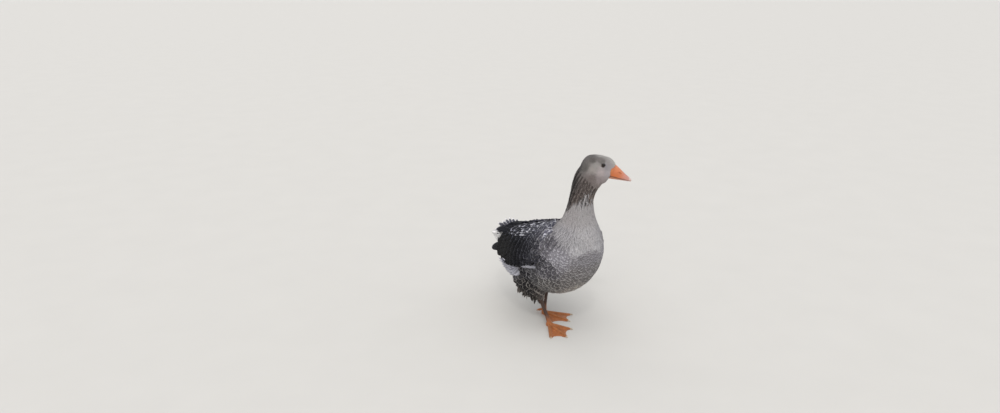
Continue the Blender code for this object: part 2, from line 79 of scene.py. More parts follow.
def finishSurface(add, colour, shade=None, height=None, heightScale=0.0, **values):
    if shade is not None:
        colour = add("Mix", {0: 1.0, 6: colour, 7: shade}, 2, data_type="RGBA", blend_type="MULTIPLY")
    inputs = {"Base Color": colour}
    if height is not None:
        inputs["Normal"] = add("Bump", {"Strength": 1.0, "Distance": heightScale, "Height": height})
    for key, value in values.items():
        inputs[key.replace("_", " ")] = value
    add("OutputMaterial", {"Surface": add("BsdfPrincipled", inputs)})


def grainedMaterial(name, tone, pattern, scale, detail, shades, relief=None, **values):
    # one colour, or the colours that the piece carries, under a fine grain
    material, add = newMaterial(name)
    colour = linear(tone) if tone else add("Attribute", attribute_name="tone")
    grain = add(pattern, {"Vector": add("TexCoord", output=3), "Scale": scale, "Detail": detail})
    shade = add("MapRange", {0: grain, 3: shades[0], 4: shades[1]})
    finishSurface(add, colour, shade, grain if relief else None, relief, **values)
    return material


def deselect():
    for thing in bpy.context.selected_objects:
        thing.select_set(False)


def makeActive(piece):
    deselect()
    piece.select_set(True)
    bpy.context.view_layer.objects.active = piece


def editAll(piece, operator, **settings):
    makeActive(piece)
    bpy.ops.object.mode_set(mode="EDIT")
    bpy.ops.mesh.select_all(action="SELECT")
    operator(**settings)
    bpy.ops.object.mode_set(mode="OBJECT")


def applyModifier(piece, kind, **settings):
    makeActive(piece)
    modifier = piece.modifiers.new("work", kind)
    for key, value in settings.items():
        setattr(modifier, key, value)
    bpy.ops.object.modifier_apply(modifier="work")


def remesh(piece, voxel, rounds):
    # one closed surface over all that overlaps, smoothed
    applyModifier(piece, "REMESH", mode="VOXEL", voxel_size=voxel)
    applyModifier(piece, "SMOOTH", factor=0.5, iterations=rounds)
    return piece


def copyOfNodes(names, swell):
    # each solid swells a little, so that touching ones join
    copies = []
    for name in names:
        copy = bpy.data.objects.new("copy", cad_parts[name].data.copy())
        bpy.context.scene.collection.objects.link(copy)
        editAll(copy, bpy.ops.mesh.remove_doubles, threshold=0.00001)
        applyModifier(copy, "DISPLACE", strength=swell, mid_level=0.0)
        copies.append(copy)
    makeActive(copies[0])
    for copy in copies:
        copy.select_set(True)
    bpy.ops.object.join()
    return bpy.context.view_layer.objects.active


def readVectors(rows, name):
    flat = np.zeros(len(rows) * 3, np.float32)
    rows.foreach_get(name, flat)
    return flat.reshape(-1, 3).astype(float)


def pointsOf(piece):
    return readVectors(piece.data.vertices, "co")


def normalsOf(piece):
    return readVectors(piece.data.vertex_normals, "vector")


def setPoints(piece, points):
    piece.data.vertices.foreach_set("co", np.asarray(points, np.float32).ravel())
    piece.data.update()


def treeOf(piece):
    faces = [tuple(f.vertices) for f in piece.data.polygons]
    return faces, BVHTree.FromPolygons([Vector(p) for p in pointsOf(piece)], faces)


def giveColours(mesh, name, colours, last=1.0):
    values = np.ones((len(colours), 4))
    values[:, :3] = np.asarray(colours)[:, :3]
    values[:, 3] = last
    layer = mesh.attributes.new(name, "FLOAT_COLOR", "POINT")
    layer.data.foreach_set("color", values.astype(np.float32).ravel())


def unit(vectors):
    return vectors / (np.linalg.norm(vectors, axis=-1)[..., None] + 1e-12)


def smoothStep(low, high, value):
    t = np.clip((np.asarray(value, float) - low) / (high - low), 0, 1)
    return t * t * (3 - 2 * t)


def bell(value, width):
    return np.exp(-((value / width) ** 2))


def finishPiece(piece, name, material, replaced=(), smooth=True):
    piece.name = name
    piece.data.name = name
    piece.data.materials.clear()
    piece.data.materials.append(material)
    if smooth:
        for face in piece.data.polygons:
            face.use_smooth = True
    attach(piece, "root")
    if replaced:
        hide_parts(*replaced)


# camera, light and floor

studio = {
    "cameraPlace": (-1.3073, -1.7117, 1.0307),
    "cameraTurn": (72.5, 0.0, -33.638),  # degrees
    "lens": 27.0,
    "sensor": 36.0,
    "farthest": 600.0,
    "floorSize": 400.0,
    "floorColour": "C8C6C2",
    "skyColour": "EDEFF2",
    "skyStrength": 0.79,
}
# where the light comes from, strength, how wide and soft it is in degrees, colour
lamps = {
    "softOverhead": ((-0.4, -0.5, 2.2), 0.88, 60, "FFFBF5"),
    "softFront": ((-1.0, -1.3, 0.95), 1.05, 45, "FFFCF8"),
    "softFill": ((1.6, -1.0, 1.2), 0.38, 70, "F3F6FF"),
    "smallBright": ((-0.8, -1.1, 1.7), 0.22, 4, "FFFFFF"),
    "softRim": ((0.6, 2.0, 1.5), 0.40, 60, "FFF9F2"),
}

deselect()
bpy.ops.object.camera_add(
    location=studio["cameraPlace"], rotation=[math.radians(a) for a in studio["cameraTurn"]]
)
camera = bpy.context.object
camera.data.lens = studio["lens"]
camera.data.sensor_width = studio["sensor"]
camera.data.clip_end = studio["farthest"]
bpy.context.scene.camera = camera
for lampName, (source, strength, spread, colour) in lamps.items():
    bpy.ops.object.light_add(type="SUN", location=source)
    lamp = bpy.context.object
    lamp.name = lampName
    lamp.rotation_euler = (-Vector(source)).to_track_quat("-Z", "Y").to_euler()
    lamp.data.energy = strength
    lamp.data.angle = math.radians(spread)
    lamp.data.color = linear(colour)[:3]
sky = bpy.data.worlds.new("studioSky")
sky.use_nodes = True
sky.node_tree.nodes["Background"].inputs[0].default_value = linear(studio["skyColour"])
sky.node_tree.nodes["Background"].inputs[1].default_value = studio["skyStrength"]
bpy.context.scene.world = sky
bpy.context.scene.view_settings.view_transform = "Standard"

bpy.ops.mesh.primitive_plane_add(size=studio["floorSize"], location=(0, 0, 0))
floor = bpy.context.object
floor.name = "floor"
# matte paper, very faintly clouded
floor.data.materials.append(grainedMaterial(
    "matteStudioPaper", studio["floorColour"], "TexNoise", 6.0, 3.0, (0.97, 1.02), Roughness=0.85
))
say("studio")

# the bird's own directions

headCentre = Vector((0.0515, -0.1853, 0.521))
headAhead = Vector((0.7646, -0.5974, -0.2419))
headLeft = Vector((0.6157, 0.7880, 0.0))
headUp = Vector((0.1906, -0.1489, 0.9703))
# the middle of the neck: height, x, y, turn in degrees
neckLine = np.array([
    (0.331, 0.0010, -0.1568, 1.0),
    (0.357, 0.0030, -0.1553, 4.0),
    (0.384, 0.0055, -0.1518, 8.0),
    (0.411, 0.0080, -0.1503, 14.0),
    (0.438, 0.0125, -0.1518, 26.0),
    (0.464, 0.0190, -0.1558, 38.0),
    (0.486, 0.0275, -0.1633, 48.0),
    (0.500, 0.0350, -0.1693, 52.0),
])


def headPlace(along, left, rise):
    return headCentre + headAhead * along + headLeft * left + headUp * rise


def inHead(points):
    offset = np.asarray(points, float) - np.array(headCentre)
    return np.stack([offset @ np.array(a) for a in (headAhead, headLeft, headUp)], -1)


def neckAt(height):
    return [np.interp(height, neckLine[:, 0], neckLine[:, i]) for i in (1, 2, 3)]


def neckPlace(height, angle, reach):
    x, y, turn = neckAt(height)
    a = math.radians(angle + turn)
    return Vector((x + reach * math.sin(a), y - reach * math.cos(a), height))


def aroundNeck(points):
    # degrees from the throat, negative on the right
    x, y, turn = neckAt(np.clip(points[:, 2], neckLine[0, 0], neckLine[-1, 0]))
    angle = np.degrees(np.arctan2(points[:, 0] - x, -(points[:, 1] - y))) - turn
    return (angle + 180) % 360 - 180


# what the plumage is like from place to place

# Each row: place, lie, then in mm length, width, gap between roots, depth of the coat;
# then tone, edge colour, share of the vane that is edge, and ruffle in mm.
# On the head, place and lie are ahead, left, up.
headFeathers = {
    "forehead": ((0.034, 0.000, 0.007), (-1, 0, 0.5), 3.9, 0.94, 0.76, 1.0, "BCB9B3", "C5C2BC", 0.2, 0.1),
    "crownFront": ((0.020, 0.000, 0.017), (-1, 0, 0.2), 4.8, 1.06, 0.86, 1.6, "BDB9B6", "C4C1BE", 0.2, 0.2),
    "crown": ((-0.005, 0.000, 0.019), (-1, 0, 0.0), 5.8, 1.19, 0.97, 2.2, "B4B1AE", "BCB9B6", 0.2, 0.3),
    "hindCrown": ((-0.032, 0.000, 0.014), (-1, 0, -0.4), 6.7, 1.84, 1.38, 2.6, "6C6866", "7B7775", 0.25, 0.4),
    "napeTop": ((-0.054, 0.000, -0.018), (-0.4, 0, -1), 8.7, 2.40, 1.72, 3.2, "484445", "585352", 0.25, 0.5),
    "brow": ((-0.010, 0.026, 0.009), (-1, 0, -0.1), 4.8, 1.00, 0.86, 1.5, "7C7673", "857F7C", 0.2, 0.2),
    "browFront": ((0.014, 0.022, 0.005), (-1, 0, 0.1), 3.9, 0.94, 0.76, 1.2, "9F9997", "A9A4A2", 0.2, 0.1),
    "browLine": ((-0.026, 0.026, 0.006), (-1, 0, -0.15), 5.4, 1.06, 0.94, 1.8, "67615E", "716B68", 0.2, 0.2),
    "lore": ((0.019, 0.025, -0.004), (-1, 0, -0.1), 3.5, 0.87, 0.72, 1.0, "A29C9F", "ABA6A9", 0.2, 0.1),
    "faceEdge": ((0.021, 0.025, -0.020), (-1, 0, -0.1), 3.3, 0.87, 0.72, 0.9, "B5ADB0", "BEB6B9", 0.2, 0.1),
    "behindEye": ((-0.018, 0.029, -0.006), (-1, 0, -0.2), 4.8, 1.00, 0.86, 1.8, "A6A09D", "B0ACA8", 0.2, 0.2),
    "cheek": ((0.004, 0.031, -0.022), (-1, 0, -0.2), 4.4, 1.00, 0.83, 1.6, "C3B7B7", "CCC0C0", 0.2, 0.2),
    "cheekBack": ((-0.022, 0.031, -0.020), (-1, 0, -0.35), 5.4, 1.12, 0.94, 2.0, "ADA5A1", "B9B2AE", 0.2, 0.3),
    "earPatch": ((-0.041, 0.024, -0.016), (-0.9, 0, -0.7), 6.7, 1.84, 1.38, 2.6, "6E6966", "7C7874", 0.25, 0.4),
    "jaw": ((0.012, 0.020, -0.042), (-1, 0, -0.2), 4.8, 1.00, 0.86, 1.6, "ADA1A1", "B7ACAC", 0.2, 0.2),
    "jawBack": ((-0.018, 0.024, -0.046), (-0.8, 0, -0.8), 6.7, 1.92, 1.38, 2.6, "7C716E", "887E7B", 0.25, 0.4),
    "chin": ((0.024, 0.000, -0.046), (-1, 0, -0.1), 3.9, 1.00, 0.83, 1.2, "ADA4A0", "B6ACA8", 0.2, 0.1),
    "throat": ((-0.004, 0.000, -0.055), (-0.6, 0, -1), 7.8, 2.08, 1.55, 3.0, "817671", "8E837E", 0.25, 0.4),
    "lidFront": ((0.0110, 0.026, -0.0012), (-1, 0, 0.0), 2.3, 0.86, 0.65, 0.8, "9A9599", "A29EA2", 0.2, 0.1),
    "lidBack": ((-0.0130, 0.027, -0.0012), (-1, 0, -0.1), 2.9, 0.94, 0.72, 0.9, "A39D9A", "ACA6A3", 0.2, 0.1),
    "lidTop": ((-0.0008, 0.025, 0.0085), (-1, 0, 0.0), 2.7, 0.86, 0.68, 0.8, "77726F", "817C79", 0.2, 0.1),
    "lidLow": ((-0.0008, 0.029, -0.0110), (-1, 0, -0.1), 2.7, 0.86, 0.68, 0.8, "B4ABAA", "BBB2B2", 0.2, 0.1),
}
# on the neck, place is height, degrees from the throat, distance from the middle
upperNeckFeathers = {
    "front465": ((0.462, 0, 0.034), (0, 0, -1), 13, 3.6, 2.3, 4.0, "7C706B", "A39A95", 0.30, 1.0),
    "side465": ((0.462, 75, 0.034), (0, 0, -1), 13, 3.6, 2.3, 4.0, "6B615E", "958B86", 0.30, 1.0),
    "nape465": ((0.470, 165, 0.034), (0, 0, -1), 12, 3.6, 2.3, 4.0, "3B3738", "5E5957", 0.30, 1.0),
    "front430": ((0.430, 0, 0.034), (0, 0, -1), 15, 4.1, 2.7, 4.8, "71655F", "A0958F", 0.34, 1.2),
    "side430": ((0.430, 75, 0.034), (0, 0, -1), 15, 4.1, 2.7, 4.8, "5D5350", "8C827D", 0.34, 1.2),
    "nape430": ((0.430, 165, 0.034), (0, 0, -1), 15, 4.1, 2.7, 4.8, "343133", "575352", 0.30, 1.2),
    "nape390": ((0.390, 165, 0.038), (0, 0.2, -1), 16, 4.6, 3.1, 4.8, "403C3D", "66605F", 0.30, 0.8),
}
# these repeat on both sides of the body: place and lie are outwards, y, up
bodyFeathers = {
    "neckFront": ((0.003, -0.190, 0.390), (0, 0, -1), 16, 5.0, 2.7, 5, "A5A1A2", "B3AFB0", 0.25, 0.1),
    "neckSide": ((0.042, -0.155, 0.385), (0, 0.1, -1), 16, 5.0, 2.7, 5, "A29D9E", "B1ACAD", 0.25, 0.1),
    "neckBack": ((0.010, -0.108, 0.375), (0, 0.3, -1), 17, 5.5, 3.0, 6, "928C8A", "A9A4A0", 0.25, 0.2),
    "collarFront": ((0.000, -0.208, 0.325), (0, -0.1, -1), 19, 6.5, 3.2, 7, "B6B3B5", "C2BFC2", 0.22, 0.1),
    "collarSide": ((0.062, -0.165, 0.335), (0.3, 0.2, -1), 20, 7.0, 3.5, 7, "9D9A9E", "B3B0B4", 0.24, 0.2),
    "collarBack": ((0.030, -0.092, 0.345), (0.2, 1, -0.6), 24, 11, 5.5, 7, "807B7F", "B7B3B6", 0.22, 0.5),
    "shoulder": ((0.085, -0.145, 0.315), (0.2, 0.9, -0.7), 28, 14, 6.8, 8, "4B4850", "A6A4AA", 0.20, 0.6),
    "breastTop": ((0.030, -0.205, 0.305), (0, 0, -1), 22, 7.6, 3.6, 8, "AEACAF", "BFBDC0", 0.22, 0.4),
    "breastSide": ((0.076, -0.172, 0.275), (0.1, 0.7, -1), 27, 11, 5.2, 8, "76737A", "B3B1B8", 0.21, 0.7),
    "breastMiddle": ((0.022, -0.206, 0.272), (0, 0.2, -1), 26, 11, 5.0, 8, "69666A", "99979C", 0.20, 0.6),
    "breastLow": ((0.030, -0.199, 0.224), (0, 0.5, -1), 28, 14, 6.6, 9, "5B5758", "A3A0A1", 0.20, 0.9),
    "breastUnder": ((0.030, -0.190, 0.192), (0, 0.7, -1), 28, 15, 7.2, 9, "504C4C", "A9A4A2", 0.19, 1.0),
    "wingBend": ((0.109, -0.122, 0.250), (0, 1, -0.7), 34, 17, 8.0, 8, "1C1B23", "696874", 0.13, 0.8),
    "flankFront": ((0.094, -0.145, 0.235), (0, 1, -0.8), 34, 17, 8.2, 9, "3A383F", "9C999F", 0.16, 0.8),
    "flankLowFront": ((0.078, -0.140, 0.175), (0, 1, -0.7), 34, 19, 9.4, 9, "403D3D", "B0ACA9", 0.17, 0.9),
    "keel": ((0.000, -0.165, 0.150), (0, 1, -0.8), 30, 17, 8.5, 9, "756E6A", "C2BBB3", 0.20, 0.6),
    "flank": ((0.110, -0.080, 0.190), (0, 1, -0.35), 42, 22, 10.5, 9, "222126", "A09DA2", 0.13, 0.9),
    "flankLow": ((0.095, -0.070, 0.145), (0, 1, -0.3), 40, 23, 11, 9, "1E1C1E", "99948F", 0.13, 0.9),
    "belly": ((0.020, -0.060, 0.098), (0, 1, 0), 32, 20, 9.5, 9, "8F8882", "BFB8B0", 0.20, 0.6),
    "bellySide": ((0.070, -0.090, 0.112), (0, 1, -0.2), 34, 21, 10, 9, "393534", "938D88", 0.16, 0.8),
    "thighFront": ((0.095, -0.045, 0.130), (0, 0.7, -1), 42, 24, 11, 8, "171617", "98928E", 0.11, 0.9),
    "thighMiddle": ((0.100, -0.010, 0.135), (0, 0.7, -0.9), 42, 24, 11, 8, "131213", "A29D99", 0.11, 1.4),
    "thighBack": ((0.092, 0.025, 0.110), (0, 0.8, -0.8), 38, 22, 10, 8, "151415", "8A8580", 0.11, 1.4),
    "thighLow": ((0.070, 0.000, 0.090), (-0.2, 0.3, -1), 22, 12, 6.0, 5, "2C2928", "8B837B", 0.18, 0.9),
    "thighInside": ((0.035, 0.000, 0.110), (0, 0.6, -1), 22, 13, 7.0, 6, "8F8983", "BDB7B0", 0.22, 0.6),
    "sideBack": ((0.106, 0.025, 0.176), (0, 1, -0.3), 34, 15, 7.5, 9, "8E8D96", "B4B3BB", 0.25, 2.0),
    "sideRear": ((0.098, 0.065, 0.158), (0, 1, -0.2), 34, 17, 8.0, 9, "9C9BA2", "BDBCC3", 0.25, 2.0),
    "ventSide": ((0.070, 0.110, 0.150), (0, 1, 0.1), 38, 15, 8.0, 6, "C6C5C7", "DDDCDE", 0.25, 1.4),
    "vent": ((0.000, 0.090, 0.115), (0, 1, 0.3), 40, 15, 8.5, 6, "E4E2E0", "F2F1F0", 0.25, 1.0),
    "ventBack": ((0.020, 0.160, 0.175), (0, 0.75, 0.8), 38, 13, 7.5, 5, "E6E4E3", "F4F3F2", 0.25, 1.2),
    "underTail": ((0.020, 0.190, 0.212), (0, 1, 0.2), 38, 16, 8.5, 4, "EFEDEB", "F8F7F6", 0.25, 0.6),
    "wingUnder": ((0.052, 0.185, 0.204), (0, 1, 0), 16, 7, 4.5, 3, "1B1B21", "484852", 0.12, 0.2),
    "wingUnderFront": ((0.060, 0.150, 0.194), (0, 1, 0), 18, 8, 5.0, 3, "24242A", "55555F", 0.12, 0.2),
    "rumpTop": ((0.030, 0.150, 0.236), (0, 1, -0.1), 42, 18, 9, 5, "E0DEDC", "F4F3F2", 0.25, 0.5),
    "mantle": ((0.012, -0.070, 0.338), (0.1, 1, -0.2), 34, 15, 8.0, 6, "4E4C56", "B2B0B8", 0.18, 0.4),
    "back": ((0.006, 0.020, 0.305), (0.05, 1, -0.2), 46, 15, 9, 6, "2E2E38", "8E8E9A", 0.15, 0.2),
    "backRear": ((0.006, 0.100, 0.275), (0.05, 1, -0.2), 48, 15, 10, 6, "24242E", "7E7E8A", 0.13, 0.2),
}
# columns of the tables below
lieOf, toneOf, edgeOf = slice(0, 3), slice(7, 10), slice(10, 13)
lengthAt, widthAt, gapAt, depthAt, shareAt, ruffleAt = 3, 4, 5, 6, 13, 14


def tableOf(rows, mirrored):
    places, values = [], []
    for place, lie, length, width, gap, depth, tone, edge, share, ruffle in rows.values():
        numbers = [length, width, gap, depth, *linear(tone)[:3], *linear(edge)[:3], share, ruffle]
        for side in (1, -1) if mirrored else (1,):
            flip = np.array((side, 1, 1))
            places.append(np.array(place) * flip)
            values.append([*(np.array(lie, float) * flip), *numbers])
    return np.array(places), np.array(values)


def darkRows():
    # the head and the upper neck: what lies off the midline is there on both sides
    rows = {}
    for name, (place, lie, *rest) in headFeathers.items():
        turned = headAhead * lie[0] + headUp * lie[2]
        along, left, rise = inHead([headPlace(*place)])[0]
        for side in (1, -1) if left > 0.003 else (1,):
            rows[name, side] = (headPlace(along, left * side, rise), turned, *rest)
    for name, (place, lie, *rest) in upperNeckFeathers.items():
        root = neckPlace(*place)
        angle = aroundNeck(np.array([root]))[0]
        x, y, _ = neckAt(root[2])
        reach = math.hypot(root[0] - x, root[1] - y)
        for side in (1, -1):
            rows[name, side] = (neckPlace(root[2], angle * side, reach), lie, *rest)
    return rows


darkPlaces, darkValues = tableOf(darkRows(), False)
palePlaces, paleValues = tableOf(bodyFeathers, True)
# where the dark neck ends: degrees round from the throat, height
darkEnd = np.array([
    (0, 0.415), (25, 0.430), (45, 0.442), (60, 0.434), (75, 0.422), (95, 0.411),
    (107, 0.401), (140, 0.382), (180, 0.372),
])
darkBlend = 0.004  # how wide the change is
darkRagged = 0.008


def blended(points, places, values, power=5.0, batch=20000):
    found = np.empty((len(points), values.shape[1]))
    for start in range(0, len(points), batch):
        part = points[start : start + batch]
        gap = np.linalg.norm(part[:, None] - places[None], axis=2)
        weight = 1 / (gap + 0.002) ** power
        found[start : start + batch] = (weight @ values) / weight.sum(1)[:, None]
    return found


def plumageAt(points, jitter=0.0):
    points = np.asarray(points, float)
    border = np.interp(np.abs(aroundNeck(points)), darkEnd[:, 0], darkEnd[:, 1])
    above = points[:, 2] + jitter * darkRagged - border
    dark = smoothStep(-darkBlend, darkBlend, above)[:, None]
    pale = blended(points, palePlaces, paleValues)
    return pale * (1 - dark) + blended(points, darkPlaces, darkValues) * dark


# the flesh: one hull at the tips of the coat, and one skin a coat's depth inside it

fleshNodes = (
    "trunk", "breast", "rump", "neck_lower", "neck_upper", "head",
    "thigh_left", "thigh_right", "wing_left", "wing_right",
)
flesh = {
    "voxel": 0.0030,
    "swell": 0.0005,
    "hullRounds": 4,
    "skinRounds": 3,
    "thickest": 0.05,  # how far the other wall is looked for
    "mostOfWall": 0.3,
    "unwrapAngle": 66,
}
eyes = {
    "place": (-0.0008, 0.0217, -0.0022),  # along, out and up in the head
    "radius": 0.0079,
    "mound": 0.0088,
    "gaze": (0.20, 1.0, 0.20),  # ahead, out, up
    "cornea": 0.0005,
    "opening": (0.0073, 0.0039),  # half width and half height between the lids
    "parted": 0.0078,  # feathers part round a circle this wide
    "partedTo": 0.030,
    "bare": (0.0080, 0.0088, 0.0054),  # bare skin of the lids: behind, ahead, half its height
    "bareDrop": 0.0010,
}


def hullOf(names):
    hull = copyOfNodes(names, flesh["swell"])
    for side in (1, -1):
        # flesh of the lids, which fills the socket round each eye
        along, out, rise = eyes["place"]
        bpy.ops.mesh.primitive_uv_sphere_add(
            segments=24, ring_count=16, radius=eyes["mound"], location=headPlace(along, out * side, rise)
        )
        hull.select_set(True)
        bpy.context.view_layer.objects.active = hull
        bpy.ops.object.join()
    return remesh(hull, flesh["voxel"], flesh["hullRounds"])


hull = hullOf((*fleshNodes, "tail"))
hullFaces, hullTree = treeOf(hull)
hullPoints, hullNormals = pointsOf(hull), normalsOf(hull)
faceNormals = unit(np.array([hullNormals[list(f)].mean(0) for f in hullFaces]))
bpy.data.objects.remove(hull)
say(f"hull, {len(hullFaces)} faces")

skin = hullOf(fleshNodes)
wallTree = treeOf(skin)[1]
skinPoints, skinNormals = pointsOf(skin), normalsOf(skin)
depths = plumageAt(skinPoints)[:, depthAt] * mm
for i, (point, normal) in enumerate(zip(skinPoints, skinNormals)):
    far = wallTree.ray_cast(Vector(point - normal * 0.0002), Vector(-normal), flesh["thickest"])[3]
    if far:
        depths[i] = min(depths[i], far * flesh["mostOfWall"])
setPoints(skin, skinPoints - skinNormals * depths[:, None])
applyModifier(skin, "SMOOTH", factor=0.5, iterations=flesh["skinRounds"])
remesh(skin, flesh["voxel"], flesh["skinRounds"])
editAll(
    skin, bpy.ops.uv.smart_project, angle_limit=math.radians(flesh["unwrapAngle"]), island_margin=0.002
)
skin.data.uv_layers[0].name = "OFBake"
skinPoints = pointsOf(skin)
skinFaces, skinTree = treeOf(skin)
skinUv = np.zeros(len(skin.data.loops) * 2, np.float32)
skin.data.uv_layers[0].data.foreach_get("uv", skinUv)
skinUv = skinUv.reshape(-1, 2)
skinFaceStart = np.array([f.loop_start for f in skin.data.polygons])
say(f"skin, {len(skinFaces)} faces")


def placeOnUnwrap(points):
    starts = [skinFaceStart[skinTree.find_nearest(Vector(point))[2]] for point in points]
    return np.array([skinUv[start : start + 4].mean(0) for start in starts])


# feathers

# share of the way along, share of the width there
vaneShapes = {
    "tuft": ((0.0, 0.55), (0.55, 1.0), (1.0, 0.30)),
    "pointed": ((0.0, 0.40), (0.30, 0.90), (0.58, 1.0), (0.82, 0.62), (1.0, 0.10)),
    "soft": ((0.0, 0.45), (0.35, 0.95), (0.65, 1.0), (0.88, 0.62), (1.0, 0.16)),
    "round": ((0.0, 0.40), (0.28, 0.82), (0.55, 1.0), (0.78, 0.94), (0.92, 0.66), (1.0, 0.22)),
    "long": (
        (0.0, 0.25), (0.12, 0.6), (0.3, 0.85), (0.5, 0.98), (0.68, 1.0), (0.82, 0.92),
        (0.92, 0.70), (0.98, 0.38), (1.0, 0.15),
    ),
}


def sharesOf(shape):
    return np.array(vaneShapes[shape])[:, 0]


def layAlong(roots, lies, lengths, shape, hold):
    # each spine follows the hull, and stands off a little where that turns sharply
    shares = sharesOf(shape)
    spine = np.empty((len(roots), len(shares), 3))
    normal = np.empty_like(spine)
    for i, (root, lie, length) in enumerate(zip(roots, lies, lengths)):
        point, heading = Vector(root), Vector(lie)
        for k, step in enumerate(np.diff(shares, append=1.0)):
            spot, _, face, _ = hullTree.find_nearest(point)
            up = Vector(faceNormals[face])
            heading = (heading - up * (heading.dot(up) * (hold if k else 1.0))).normalized()
            here = spot if k == 0 else point.lerp(spot, hold)
            spine[i, k], normal[i, k] = here, up
            point = here + heading * (length * step)
    return spine, normal


def vaneFaces(shares, columns):
    # faces of one vane, and for each corner its place on the vane and in the bake's patch
    across = np.linspace(0, 1, columns)
    rows, last = len(shares), columns - 1
    faces, corners = [], []

    def face(ring, placeInPatch):
        faces.append([k * columns + j for k, j in ring])
        corners.extend((across[j], shares[k], *placeInPatch(across[j], shares[k])) for k, j in ring)

    for k in range(rows - 1):
        for j in range(last):
            ring = [(k, j), (k, j + 1), (k + 1, j + 1), (k + 1, j)]
            face(ring, lambda u, t: (0.02 + 0.66 * u, 0.02 + 0.96 * t))
    for k in range(rows - 1):
        ring = [(k, 0), (k + 1, 0), (k + 1, last), (k, last)]
        face(ring, lambda u, t: (0.74 + 0.24 * u, 0.16 + 0.66 * t))
    for k, order, low in ((0, range(last, -1, -1), 0.02), (rows - 1, range(columns), 0.86)):
        face([(k, j) for j in order], lambda u, t: (0.74 + 0.24 * u, low + 0.12 * (1 - (2 * u - 1) ** 2)))
    return faces, np.array(corners), (rows - 1) * last


def growVanes(
    name, shape, roots, spine, normal, widths, lengths, tones, edges, edgeShares,
    columns, camber, roll, material, replaced=(),
):
    # a closed thin vane for each spine: arched above, flat below
    shares, wide = np.array(vaneShapes[shape]).T
    count, rows = spine.shape[:2]
    tangent = unit(np.gradient(spine, axis=1))
    side = unit(np.cross(tangent, normal))
    up = np.cross(side, tangent)
    c, s = np.cos(roll)[:, None, None], np.sin(roll)[:, None, None]
    side, up = side * c + up * s, up * c - side * s
    half = (widths[:, None] * wide[None] / 2)[..., None, None]
    u = np.linspace(-1, 1, columns)[None, None, :, None]
    arch = (camber * (1 - u**2)) * half
    points = spine[:, :, None] + side[:, :, None] * (half * u) + up[:, :, None] * arch
    faces, corners, topCount = vaneFaces(shares, columns)
    each = rows * columns
    loops = (np.concatenate(faces)[None] + (np.arange(count) * each)[:, None]).ravel()
    totals = np.tile([len(f) for f in faces], count)
    mesh = bpy.data.meshes.new(name)
    mesh.vertices.add(count * each)
    mesh.vertices.foreach_set("co", points.astype(np.float32).ravel())
    mesh.loops.add(len(loops))
    mesh.loops.foreach_set("vertex_index", loops.astype(np.int32))
    mesh.polygons.add(len(totals))
    mesh.polygons.foreach_set("loop_start", (np.cumsum(totals) - totals).astype(np.int32))
    mesh.update(calc_edges=True)
    flat = mesh.attributes.new("sharp_face", "BOOLEAN", "FACE")
    flat.data.foreach_set("value", np.tile(np.arange(len(faces)) >= topCount, count))
    vane = mesh.uv_layers.new(name="vane")
    vane.data.foreach_set("uv", np.tile(corners[:, :2], (count, 1)).astype(np.float32).ravel())
    bake = mesh.uv_layers.new(name="OFBake")
    patch = placeOnUnwrap(roots)[:, None] + 0.003 * (corners[None, :, 2:] - 0.5)
    bake.data.foreach_set("uv", np.clip(patch, 0.0005, 0.9995).astype(np.float32).ravel())
    vane.active_render = True
    giveColours(mesh, "tone", np.repeat(tones, each, axis=0), np.repeat(lengths * 5, each))
    edgeShares = np.broadcast_to(edgeShares, count)
    giveColours(mesh, "edge", np.repeat(edges, each, axis=0), np.repeat(edgeShares, each))
    mesh.validate()
    piece = bpy.data.objects.new(name, mesh)
    bpy.context.scene.collection.objects.link(piece)
    finishPiece(piece, name, material, replaced, smooth=False)
    say(f"{name}, {count} feathers, {len(mesh.polygons)} faces")


def spacedRoots(seed, keep, limit=420000, tries=9):
    # points on the hull at least the wanted gap apart
    rng = np.random.default_rng(seed)
    quads = np.array(hullFaces)
    a, b, c, d = [hullPoints[quads[:, i]] for i in range(4)]
    area = 0.5 * np.linalg.norm(np.cross(c - a, d - b), axis=1)
    middle = (a + b + c + d) / 4
    gapHere = plumageAt(middle)[:, gapAt] * mm
    weight = np.where(keep(middle), area / gapHere**2, 0)
    count = int(min(limit, weight.sum() * tries))
    pick = rng.choice(len(quads), count, p=weight / weight.sum())
    s, t = rng.random(count)[:, None], rng.random(count)[:, None]
    points = (a[pick] * (1 - s) + b[pick] * s) * (1 - t) + (d[pick] * (1 - s) + c[pick] * s) * t
    near = KDTree(count)
    for i, point in enumerate(points):
        near.insert(point, i)
    near.balance()
    alive = np.ones(count, bool)
    chosen = []
    for i in range(count):
        if alive[i]:
            chosen.append(i)
            for _, j, _ in near.find_range(points[i], gapHere[pick[i]]):
                alive[j] = False
    return points[chosen]


# materials of the plumage

